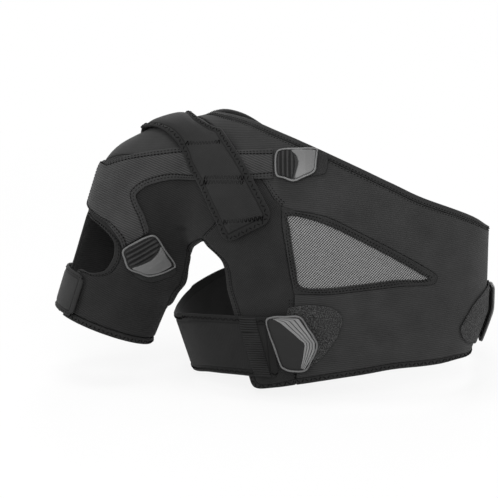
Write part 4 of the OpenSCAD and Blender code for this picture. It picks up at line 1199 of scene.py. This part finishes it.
def strap_half(side):
    first, down = (strap_top, strap_down) if side < 0 else (back_top_points, strap_behind)
    top = top_at([[x, ridge_y - side * y + side * fold_gap / 2] for x, y in first])
    line = curve(np.concatenate([top, flat_at(side, down)]), strap_steps)
    rows = np.arange(len(line)) / strap_steps
    left, right = (np.interp(rows, share_rows, s) if side < 0 else 1.0 for s in (strap_left, strap_right))
    a, m, b = strip_rails(line, strap_w if side < 0 else fold_w, left, right)
    y = ridge_y + side * fold_gap / 2
    fold_x = strap_top[0][0]
    ends = top_at([[fold_x - fold_w / 2, y], [fold_x + fold_w / 2, y]])
    a[0], b[0] = (ends[0], ends[1]) if side < 0 else (ends[1], ends[0])
    if side < 0:
        for rail, corner in ((a, left_turn), (b, right_turn)):
            rail[:turn_rows] = snap(bend_of(rail[0], top_at([corner])[0], rail[turn_rows - 1]))
    return a, m, b


front_half, back_half = strap_half(-1), strap_half(1)
strap_rails = [np.concatenate([back_half[2 - k][::-1], front_half[k]]) for k in range(3)]
print("strap:", len(strap_rails[0]), "rows from end to end")

# %% Shoulder strap and its hooks
strap_soft, strap_corners, pad_inset = 1.3, (0, 12), 8
strap_marks, strap_groove = (5.6, 6.4, 7.0, 7.6, 8.4, 10.0, 12.5, 15.0), (7.0, 0.7, 0.8)
strap_padding = (7.4, 1.0, 7)
strap_fold = fold_span("shoulder_strap", front_half[1][3], 9)
laid = cloth_grid(strap_rails, cells=16, fine=5, soft=strap_soft, marks=strap_marks, corners=strap_corners)
strap = shell("shoulder_strap_webbing", laid, layer_2, layer_2 + strap_t, grooves=[strap_groove],
              padding=strap_padding)
dress(strap, strap_weave, "shoulder_strap", ["shoulder_strap", "strap_anchor"],
      blend=strap_fold)
laid = cloth_grid(strip_rails(front_half[1][15:-1], fold_w - pad_inset), cells=8, soft=0.6)
pad = shell("shoulder_strap_hooks", laid, layer_1, layer_2 - touch)
dress(pad, hook_face, "shoulder_strap", ["strap_hook_pad"])
print("strap:", round(strap["flat_run"]), "mm long")

# %% Belts
belt_w, belt_t, tape_w, tape_t = 68.0, 2.6, 14.0, 1.0
belt_marks, belt_groove, belt_corners = (6.4, 7.2, 8.0, 8.8, 9.6, 12), (8.0, 0.6, 0.8), (0, 8)
rib_pitch, rib_rise = 2.7, 0.3
near_run = [[-150, 50], [-135, 46], [-118, 34], [-103, 25], [-90, 24], [-77, 30], [-64, 39], [-52, 44],
            [-43.5, 46]]
near_tip = [[-42.8, 46], [-34, 47], [-28, 48]]
far_run = [[138, 60], [126, 58], [114, 57], [107, 56]]
far_tip = [[106.3, 56], [100, 56], [94, 56]]
belts, belt_folds = {}, {}
for word, run_points, tip_points, fine in (("near", near_run, near_tip, 3), ("far", far_run, far_tip, 4)):
    run = strip_rails(curve(round_at(run_points), fine), belt_w)
    tip = strip_rails(curve(round_at(tip_points), 4), belt_w)
    belts[word] = [np.concatenate([r, t]) for r, t in zip(run, tip)]
    belt_folds[word] = fold_span(word + "_pull", tip[1][-1], 5)
    laid = cloth_grid(belts[word], cells=18, fine=4, soft=strap_soft, marks=belt_marks, corners=belt_corners)
    belt = shell(word + "_belt_webbing", laid, layer_1, layer_1 + belt_t, grooves=[belt_groove])
    dress(belt, belt_weave, word + "_pull", [word + "_belt", word + "_belt_tip"],
          blend=belt_folds[word])
    print(word, "belt:", round(belt["flat_run"]), "mm long")


# %% Ribbed tape at the belts' ends
def tape_ribs(grid, place):
    return rib_rise * np.cos(place[..., 1] * 2 * math.pi / rib_pitch)


def leaning(rails, count):
    """A strip that leans: its first edge lies three rows ahead of its last."""
    a, m, b = rails
    return a[3:count + 3], (m[1:count + 1] + m[2:count + 2]) / 2, b[:count]


tape_low = layer_1 + belt_t + touch
for word, tip_points in (("near", near_tip), ("far", far_tip)):
    line = curve(round_at(tip_points), 5)
    count = math.ceil((len(line) - 1) * tape_w / np.linalg.norm(line[-1] - line[0])) + 1
    laid = cloth_grid(leaning(strip_rails(line, belt_w - 2), count), cells=170, soft=0.5)
    ribbed = shell(word + "_ribbed_tape", laid, tape_low, tape_low + tape_t, relief=tape_ribs)
    dress(ribbed, ribbed_tape, word + "_pull", [word + "_tape"])
    print(word, "tape:", round(belt_w / rib_pitch), "ribs")

# %% Cuff tab
tab_w, tab_t, hook_t = 48.0, 2.6, 1.2
tab_s, tab_start, tab_fold, tab_tip, tab_rows = 133, 112, 83.6, 40, 6
tab_marks, tab_groove = (4.0, 4.7, 5.4, 6.1, 7.5), (5.4, 0.6, 0.7)
tab_corners, tab_padding = (0, 9), (5.6, 0.4, 5)
tab_low = layer_1 + hook_t + touch


def tab_line(first, last):
    return arm_at(-1, [[tab_s, t] for t in np.linspace(first, last, tab_rows + 1)])


anchor = strip_rails(tab_line(tab_start, tab_fold + 0.4), tab_w)
free = strip_rails(tab_line(tab_fold - 0.4, tab_tip), tab_w)
tab_rails = [np.concatenate([r, t]) for r, t in zip(anchor, free)]
tab_span = fold_span("cuff_tab", free[1][-1], 5)
laid = cloth_grid(tab_rails, cells=16, fine=6, soft=strap_soft, marks=tab_marks, corners=tab_corners)
tab = shell("cuff_tab_webbing", laid, tab_low, tab_low + tab_t, grooves=[tab_groove], padding=tab_padding)
dress(tab, tab_weave, "cuff_tab", ["cuff_tab", "tab_anchor"],
      blend=tab_span)
laid = cloth_grid(strip_rails(tab_line(70, 44), tab_w - pad_inset), cells=8, soft=0.5)
pad = shell("cuff_tab_hooks", laid, layer_1, layer_1 + hook_t)
dress(pad, hook_face, "cuff_tab", ["cuff_hook_pad"])
print("tab:", round(tab["flat_run"]), "mm long")

# %% [markdown]
# ## Seam tape
# Panels that meet edge to edge are joined by a flat tape on the inside, which also keeps light from showing
# through the seam. A tape is a thin strip under the seam. Some follow an edge at a fixed distance, and
# so use the panel's own lines. Others run along the line that two panels share. Short ones close the peak
# of the armhole, the corner of the mesh and the place where two hems meet.


# %% Helpers for tape
seam_tape_t, seam_tape_soft, edge_tape_w = 0.5, 0.25, 5
depth_1, depth_2, depth_3, depth_4 = -0.65, -1.3, -2.0, -2.7
under_edge = binding_w - 2.3


def tape(name, rails, low, start=0, wide=None):
    laid = cloth_grid(rails, (start, 0), cells=3, soft=seam_tape_soft, fine=2, wide=wide)
    made = shell(name, laid, low, low + seam_tape_t)
    dress(made, bound_edge, "wrap", [])


def tape_inside(name, rails):
    tape(name, rails, depth_1, under_edge, edge_tape_w)


def tape_along(name, line, low, wide=6):
    tape(name, strip_rails(line, wide), low)


print("tapes lie", -depth_1, "to", -depth_4, "mm inside")

# %% Tape under the panels
arch_rise, arch_w, corner_tape_w, bridge_w, bridge_rise = 3, 11, 9, 4.6, 2.0
for side, word in ((-1, "chest"), (1, "back")):
    flank, outer = side_edge(side), outer_line(side)
    tape_inside(word + "_edge_tape", panel_rails(side))
    tape_inside(word + "_armhole_tape", rows_of(side_rails(side), armhole_from))
    tape_along(word + "_seam_tape", inner_line(side), depth_2)
    tape_along(word + "_net_tape", mesh_side(side), depth_3)
    seam = side_inner(side)[-seam_rows:]
    seam = np.concatenate([seam, seam[-1:] + (flank[-1:] - seam[-1:]) * [[0.5], [0.98]]])
    tape_along(word + "_hem_tape", snap(seam), depth_3)
    tape_along(word + "_shoulder_tape", flank[:armhole_from + 1], depth_3)
    first, peak, last = sleeve_inner(side)[armhole_from + 2], flank[armhole_from], flank[armhole_from + 2]
    up = unit((peak - (first + last) / 2)[None])
    arch = bend_of(first, peak + up * arch_rise, last)
    above = arch + up * arch_w
    tape(word + "_arch_tape", (snap(arch), snap((arch + above) / 2), snap(above)), depth_4)
    corner = np.stack([mesh_side(side)[2], mesh_side(side)[0], side_inner(side)[2 - seam_rows]])
    tape_along(word + "_corner_tape", corner, depth_4, corner_tape_w)
    hems = np.stack([flank[-3], (flank[-1] + outer[-1]) / 2, outer[-3]])
    tape_along(word + "_hem_bridge", snap(hems + [0, 0, bridge_rise]), depth_1, bridge_w)
print("panels taped")

# %% Tape in the sleeve
for side, word in ((-1, "front"), (1, "back")):
    arm_edge = rows_of(sleeve_rails(side), armhole_from, armpit_at)
    tape_inside("sleeve_%s_edge_tape" % word, arm_edge)
    tape_along("sleeve_%s_cap_tape" % word, cap_seam(side), depth_1)
    tape_along("cuff_%s_tape" % word, cuff_line(side, cuff_s + 0.8, 15), depth_1)
tape_inside("opening_tape", opening_rails)
tape_along("underarm_tape", sleeve_inner(-1)[armpit_at:], depth_2)
tape_along("outer_seam_tape", sleeve_outer(-1)[:window_from + 1], depth_1)
print("sleeve taped")

# %% [markdown]
# ## Rows of stitches
# Bound edges carry one straight row. The hem, the cuff and the belts are sewn with a zigzag, which stretches.
# The frame of the mesh and the seams beside it carry two rows. The strap has a zigzag along its border and
# steep teeth of thread across it at three places, the middle one doubled. Rows on a strip that lifts are
# handed the same fold points, and like the strip they stay where they are made.


# %% Sewing rows onto pieces
def stitches(name, rows, body_name="wrap", blend=None):
    made = sew(name, rows)
    dress(made, thread, body_name, [], blend=blend)


def straight(line, height):
    return thread_row(line, height, pitch=3.6, dash=2.4, wide=1.3)


def zigzag(line, height):
    return thread_row(line, height, pitch=4.6, dash=5.2, wide=1.6, swing=48)


def fine_zigzag(line, height):
    return thread_row(line, height, pitch=3.2, dash=5.0, wide=1.5, swing=45)


def teeth(line, height):
    return thread_row(line, height, pitch=2.0, dash=6.0, wide=0.9, swing=74)


def both_edges(rails, distance, fine=4):
    return [line_inside(rails, distance, fine), line_inside(rails[::-1], distance, fine)]


print("rows: straight, zigzag, fine zigzag and teeth")

# %% Rows on the panels and the sleeve
hem_from, side_hem_from = 10 * steps, 9 * steps
net_seam_from = mesh_from - yoke_from + 4 * steps + 1
on_edge, on_cloth = binding_top + 0.05, cloth_t + 0.05
edge_row, hem_row, panel_row, shoulder_row, cuff_row = 5.3, 4.2, 9.2, 2.4, 3.5
seam_pair = (2.2, 5.0)
for side, word in ((-1, "chest"), (1, "back")):
    edge, flank, arm = panel_rails(side), side_rails(side), sleeve_rails(side)
    seam_part = rows_of(edge[::-1], yoke_from, mesh_from + 1)
    net_part = rows_of(flank[::-1], net_seam_from)
    rows = [straight(line_inside(rows_of(edge, 0, hem_from + 1), edge_row), on_edge),
            straight(line_inside(rows_of(edge, 0, neck_rows + 1), panel_row), on_cloth),
            zigzag(line_inside(rows_of(edge, hem_from), hem_row), on_edge)]
    rows += [straight(line_inside(seam_part, d), on_cloth) for d in seam_pair]
    rows += [straight(line_inside(rows_of(flank, armhole_from, side_hem_from + 1), edge_row), on_edge),
             zigzag(line_inside(rows_of(flank, side_hem_from), hem_row), on_edge)]
    rows += [straight(line_inside(net_part, d), on_cloth) for d in seam_pair]
    rows += [straight(line_inside(rows_of(flank, 1, armhole_from), shoulder_row), on_cloth),
             straight(line_inside(rows_of(arm, armhole_from, armpit_at), edge_row), on_edge),
             zigzag(cuff_line(side, sleeve_len - cuff_row, 60), on_edge)]
    stitches(word + "_stitches", rows)
stitches("opening_stitches", [straight(line_inside(opening_rails, 5.0), on_edge)])
print("panels stitched")

# %% Rows on the mesh frames and the band
net_pair, band_pair = (1.5, 4.2), (2.6, 5.2)
on_net, on_band = on_edge - 0.1, layer_1 + band_t + 0.02
for side, word, arm_word in ((-1, "chest", "front"), (1, "back", "back")):
    inner, _, outer = (curve(r, 3, True) for r in net_rails(side))
    wide = length(outer - inner)[:, None]
    loops = [snap(inner + (outer - inner) * (d / wide)) for d in net_pair]
    stitches(word + "_net_stitches", [straight(np.concatenate([r, r[:1]]), on_net) for r in loops])
    lines = [r for d in band_pair for r in both_edges(band_rails[side], d)]
    stitches("band_%s_stitches" % arm_word, [straight(r, on_band) for r in lines])
print("frames and band stitched")

# %% Rows on the strips that lift
on_strap, on_belt, on_tab = layer_2 + strap_t, layer_1 + belt_t, tab_low + tab_t
strap_row, teeth_inset, teeth_rise, front_from = 3.8, 8.5, 0.9, 70
teeth_places = ((248, 252, (0,)), (216, 222, (-2.6, 2.6)), (180, 188, (0,)))


def at_height(line, z):
    """The point nearest to a height, on the front part of a line along the strap."""
    front = line[front_from:]
    return front[np.argmin(np.abs(front[:, 2] - z))]


left, right = both_edges(strap_rails, strap_row)
tip_a, tip_b = (left[-3] + (right[-3] - left[-3]) * t for t in (0.2, 0.8))
border = [left[6:-8], bend_of(left[-8], left[-3], tip_a), bend_of(tip_b, right[-3], right[-8]),
          right[-8:6:-1]]
rows = [zigzag(snap(np.concatenate(border)), on_strap)]
left, right = both_edges(strap_rails, teeth_inset)
for left_z, right_z, shifts in teeth_places:
    a, b = at_height(left, left_z), at_height(right, right_z)
    line = snap(a + (b - a) * np.linspace(0, 1, 24)[:, None])
    rows += [teeth(snap(line + [0, 0, d]), on_strap + teeth_rise) for d in shifts]
stitches("strap_stitches", rows, "shoulder_strap", strap_fold)
for word in ("near", "far"):
    rows = [fine_zigzag(r, on_belt) for r in both_edges(belts[word], hem_row)]
    stitches(word + "_belt_stitches", rows, word + "_pull", belt_folds[word])
stitches("tab_stitches", [straight(r, on_tab) for r in both_edges(tab_rails, 3.0)], "cuff_tab", tab_span)
print("strips stitched")

# %% [markdown]
# ## Pulls and patches
# Moulded pulls end the band and the belts. The small ones have a pale rim, a pale wedge for the thumb and a
# dark grip with about four ridges. The large ones have a dark face and grey steps that follow their outline.
# Each sits on a hook pad, and the belts' pads press onto fuzzy loop patches on the chest panel.

# %% Places and sizes of the pulls
pull_sizes = {"chest": (45.0, 33.0), "arm": (49.5, 44.9), "near": (55.0, 62.0), "far": (55.0, 62.0)}
chest_fold, near_fold = flat_at(-1, [[-62.5, 238], [-72, 54]])
arm_fold, arm_tip = arm_at(-1, [[52, 2.2], [77, -32.8]])
far_fold = round_at([[97, 56]])[0]
pulls = {"chest": (chest_fold, np.array([1.0, 0, 0]), 1), "arm": (arm_fold, arm_tip - arm_fold, 1),
         "near": (near_fold, np.array([1.0, 0, 0.04]), 1), "far": (far_fold, np.array([0, -1.0, 0]), -1)}
print("pulls:", ", ".join(pulls))

# %% Loop patches
loop_t, pile_rise = 1.4, 0.12
near_loop = [[-50, 88], [-41, 94], [-23, 96], [-5, 93], [4, 87], [7, 80], [3, 64], [-7, 47], [-19, 33],
             [-34, 25], [-48, 25], [-51, 50]]
far_loop = [[90, 88], [78, 92], [66, 84], [59, 66], [58, 58], [62, 44], [72, 32], [84, 26], [90, 28],
            [91, 56]]


def pile(edge, place):
    """Small uneven bumps, which fade out at the edge."""
    x, y = place[..., 0], place[..., 1]
    return pile_rise * np.sin(x * 3.1 + 2 * np.sin(y * 1.7)) * np.sin(y * 2.9) * np.clip(edge, 0, 1)


for word, outline in (("near", flat_at(-1, near_loop)), ("far", round_at(far_loop))):
    laid = disc_grid(curve(outline, 8, True), (1, 0, 0), soft=0.8, rings=24)
    patch = disc(word + "_loop_pile", laid, layer_1, layer_1 + loop_t, crown=pile)
    dress(patch, loop_pile, "wrap", [word + "_loop_patch"])
print("loop patches:", loop_t, "mm thick")

# %% Hook pads
lift = 0.7
pad_shapes = {
    "chest": [[0.1, 0.4], [0.6, 0.42], [1.12, 0.36], [1.22, 0.2], [1.18, -0.2], [1.08, -0.34], [0.6, -0.4],
              [0.1, -0.34], [0.06, 0]],
    "arm": [[0.1, 0.36], [0.5, 0.42], [0.96, 0.44], [1.12, 0.38], [1.13, 0.1], [1, -0.2], [0.72, -0.44],
            [0.42, -0.46], [0.1, -0.3], [0.08, 0]],
    "large": [[0.36, 0.42], [0.64, 0.42], [0.9, 0.05], [0.85, -0.25], [0.74, -0.4], [0.48, -0.4], [0.4, 0]]}
for word, (at, way, flip) in pulls.items():
    small = word in ("chest", "arm")
    low = layer_1 if small else layer_1 + loop_t + lift
    outline = outline_at(pad_shapes[word if small else "large"], at, way, *pull_sizes[word], flip)
    pad = disc(word + "_hooks", disc_grid(outline, way, soft=0.5, rings=5), low, low + hook_t)
    dress(pad, hook_face, word + "_pull", [word + "_hook_pad"])
print("hook pads:", hook_t, "mm thick")

# %% Outlines of the pulls
small_shape = [[0.02, 0.33], [0.12, 0.48], [0.5, 0.5], [0.95, 0.48], [1, 0.36], [0.93, 0.05], [0.8, -0.22],
               [0.62, -0.36], [0.42, -0.5], [0.2, -0.44], [0.03, -0.34], [0, 0]]
large_shape = [[0.03, 0.38], [0.15, 0.48], [0.4, 0.5], [0.68, 0.5], [0.85, 0.28], [1, 0.05], [0.98, -0.12],
               [0.88, -0.3], [0.76, -0.48], [0.5, -0.5], [0.36, -0.46], [0.28, -0.38], [0.15, 0]]
square_corner = {4: [0.98, 0.34], 5: [0.955, 0.05], 6: [0.91, -0.27], 7: [0.66, -0.44], 8: [0.42, -0.55]}
chest_shape = [square_corner.get(k, spot) for k, spot in enumerate(small_shape)]
plate_t, grip_t, rim_w, sunk = 2.0, 1.4, 2.0, 0.2
small_low = layer_1 + hook_t + lift
large_low = layer_1 + max(belt_t, loop_t + lift + hook_t) + lift


def plate_of(name, outline, way, low):
    return disc(name, disc_grid(outline, way, soft=0.8, rings=8), low, low + plate_t)


def ring(name, outline, low, high):
    middle = snap(outline.mean(0)[None], 6)[0]
    inner = outline + unit(middle - outline) * rim_w
    laid = cloth_grid((outline, (outline + inner) / 2, inner), cells=4, soft=0.6, fine=1, closed=True)
    return shell(name, laid, low, high)


print("plates:", plate_t, "mm thick with rims", rim_w, "mm wide")

# %% Relief on the small pulls
ridge_rise, ridge_fade, facet_rise, facet_fall, facet_fade = 1.3, 1.2, 1.1, 0.16, 0.8
grip_rise, thumb_rise = 0.5, 0.3
wedge_shape = [[0.40, 0.445], [0.7, 0.45], [0.91, 0.435], [0.945, 0.34], [0.875, 0.04], [0.755, -0.20],
               [0.6, -0.33], [0.45, -0.42], [0.48, -0.2], [0.51, 0.05], [0.47, 0.28]]
grip_shape = [[0.08, 0.3], [0.14, 0.41], [0.32, 0.43], [0.42, 0.3], [0.46, 0.05], [0.44, -0.2], [0.40, -0.41],
              [0.33, -0.42], [0.2, -0.37], [0.09, -0.28], [0.07, 0]]
chest_wedge = [[0.38, 0.44], [0.7, 0.45], [0.91, 0.43], [0.93, 0.33], [0.905, 0.04], [0.86, -0.23],
               [0.64, -0.39], [0.45, -0.47], [0.49, -0.2], [0.53, 0.05], [0.47, 0.28]]


def grip_ridges(edge, place):
    """Ridges with broad tops across the grip, which fade out at its edge."""
    wave = np.sin(place[..., 0] * 2 * math.pi / ridge_pitch)
    return ridge_rise * np.clip(wave * 0.9 + 0.3, 0, 1) * np.clip(edge / ridge_fade, 0, 1)


def two_facets(edge, place):
    """A flat left side and a right side that falls away from a ridge."""
    fall = facet_fall * np.clip(place[..., 0] - 1, 0, 9)
    return (facet_rise - fall) * np.clip(edge / facet_fade, 0, 1)


print("ridges every", ridge_pitch, "mm")

# %% Small pulls
small_shapes = (("chest", chest_shape, chest_wedge), ("arm", small_shape, wedge_shape))
for word, plate_shape, thumb_shape in small_shapes:
    pull_name = word + "_pull"
    at, way, _ = pulls[word]
    size = pull_sizes[word]
    outline = outline_at(plate_shape, at, way, *size)
    plate = plate_of(pull_name + "_wedge", outline, way, small_low)
    dress(plate, pull_black, pull_name, [pull_name + "_plate"])
    top = small_low + plate_t + touch
    foot = top - touch - sunk
    rim = ring(pull_name + "_edge", outline, foot, top + grip_t)
    dress(rim, pull_pale, pull_name, [pull_name + "_rim"])
    laid = disc_grid(outline_at(grip_shape, at, way, *size), way, soft=0.5, rings=40)
    grip = disc(pull_name + "_ridges", laid, foot, top + grip_rise, crown=grip_ridges)
    dress(grip, grip_painted_ridge_shade, pull_name, [pull_name + "_grip"])
    laid = disc_grid(outline_at(thumb_shape, at, way, *size), way, soft=0.5, rings=24)
    thumb = disc(pull_name + "_thumb", laid, foot, top + thumb_rise, crown=two_facets)
    dress(thumb, pull_pale, pull_name, [])
print("small pulls:", pull_sizes["chest"], pull_sizes["arm"], "mm")

# %% Large pulls
step_count, step_share = 4, 0.82
step_inside = [[0.16, 0.44], [0.31, 0.37], [0.74, 0.04], [0.755, -0.01], [0.72, -0.22], [0.67, -0.43]]
step_outside = [[0.31, 0.465], [0.665, 0.468], [0.96, 0.055], [0.955, -0.10], [0.855, -0.285], [0.74, -0.455]]


def polyline(points, count):
    """Points along straight pieces, with as many to each piece."""
    p = np.array(points, float)
    t = np.linspace(0, len(p) - 1, count)
    return np.stack([np.interp(t, np.arange(len(p)), p[:, k]) for k in range(2)], axis=-1)


for word in ("near", "far"):
    pull_name = word + "_pull"
    at, way, flip = pulls[word]
    outline = outline_at(large_shape, at, way, *pull_sizes[word], flip)
    plate = plate_of(pull_name + "_face", outline, way, large_low)
    dress(plate, pull_black, pull_name, [pull_name + "_plate"])
    top = large_low + plate_t + touch
    foot = top - touch - sunk
    rim = ring(pull_name + "_edge", outline, foot, top + grip_t)
    dress(rim, pull_pale, pull_name, [pull_name + "_rim"])
    first, last = (laid_at(at, way, polyline(line, 40) * pull_sizes[word] * [1, flip])
                   for line in (step_inside, step_outside))
    for k in range(step_count):
        a, b = (first + (last - first) * (k + d) / step_count for d in (0, step_share))
        laid = cloth_grid((a, (a + b) / 2, b), cells=4, soft=0.3, fine=1)
        step = shell("%s_step_%d" % (pull_name, k + 1), laid, foot, top + grip_t * (k + 1) / (step_count + 1))
        nodes = [pull_name + "_steps"] if k == 0 else []
        dress(step, pull_grey, pull_name, nodes)
print("large pulls:", pull_sizes["near"], "mm")

# %% [markdown]
# ## Cold pack
# Inside the sleeve a gel pack lies in a pocket, over the top of the shoulder and the arm. It is a pillow of
# gel in film with welded channels, and the lining holds it from within.

# %% Gel pack
pack_len, pack_w, pack_t, lining_t = 104.0, 116.0, 7.0, 0.9
pocket_top, pack_gap = -1.0, 1.0
channel_x, channel_w, channel_rise, channel_fade, crown_w = 20, 2.2, 1.6, 12, 22
pack_at = arm_at(-1, [[-12, 55]])[0]
pack_high = pocket_top - lining_t - lift
turn = np.radians(np.arange(0, 360, 6))
pack_reach = (np.abs(np.cos(turn)) ** 4 + np.abs(np.sin(turn)) ** 4) ** -0.25 / 2
pack_shape = np.stack([np.cos(turn) * pack_reach, np.sin(turn) * pack_reach], axis=-1)


def pack_under(edge, place):
    """The underside: two channels across the pack and one along it, and a rim that curves up."""
    along, across = np.abs(place[..., 0]) - channel_x, place[..., 1]
    groove = np.exp(-(along / channel_w) ** 2) + np.exp(-(across / channel_w) ** 2)
    channels = channel_rise * np.clip(groove, 0, 1) * np.clip(edge / channel_fade, 0, 1)
    return channels + pack_t / 2 * (1 - np.clip(edge / crown_w, 0, 1)) ** 2


outline = laid_at(pack_at, arm_way, pack_shape * [pack_len, pack_w])
laid = disc_grid(outline, arm_way, soft=1.5, rings=26)
gel = disc("gel_pillow", laid, pack_high - pack_t, pack_high, under=pack_under)
dress(gel, gel_film, "wrap", ["gel_pack"])
print("gel pack:", pack_len, "by", pack_w, "by", pack_t, "mm")

# %% Pocket lining
lining_margin, lining_rim, lining_slope = 20, 1.5, 8
under_pack = pack_high - pack_t - pack_gap


def lining_dip(edge, place):
    """How far the lining rises from below the pack to the sleeve, near its own edge."""
    rise = 1 - np.clip((edge - lining_rim) / lining_slope, 0, 1)
    return (pocket_top - under_pack) * rise


outline = laid_at(pack_at, arm_way, pack_shape * [pack_len + lining_margin, pack_w + lining_margin])
laid = disc_grid(outline, arm_way, soft=0.4, rings=26)
lining = disc("pocket_jersey", laid, under_pack - lining_t, under_pack, crown=lining_dip, under=lining_dip)
dress(lining, jersey, "wrap", ["pocket_lining"])
print("lining:", round(pocket_top - under_pack, 1), "mm deep")

# %% [markdown]
# The last cell prints the box round everything that is shown, with the floor left out. The dressed part may
# stand a little proud of the imported model, and no more.

# %% Box round the dressed part
low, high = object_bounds()
print("visual box", [round(v, 3) for v in (*low, *high)])
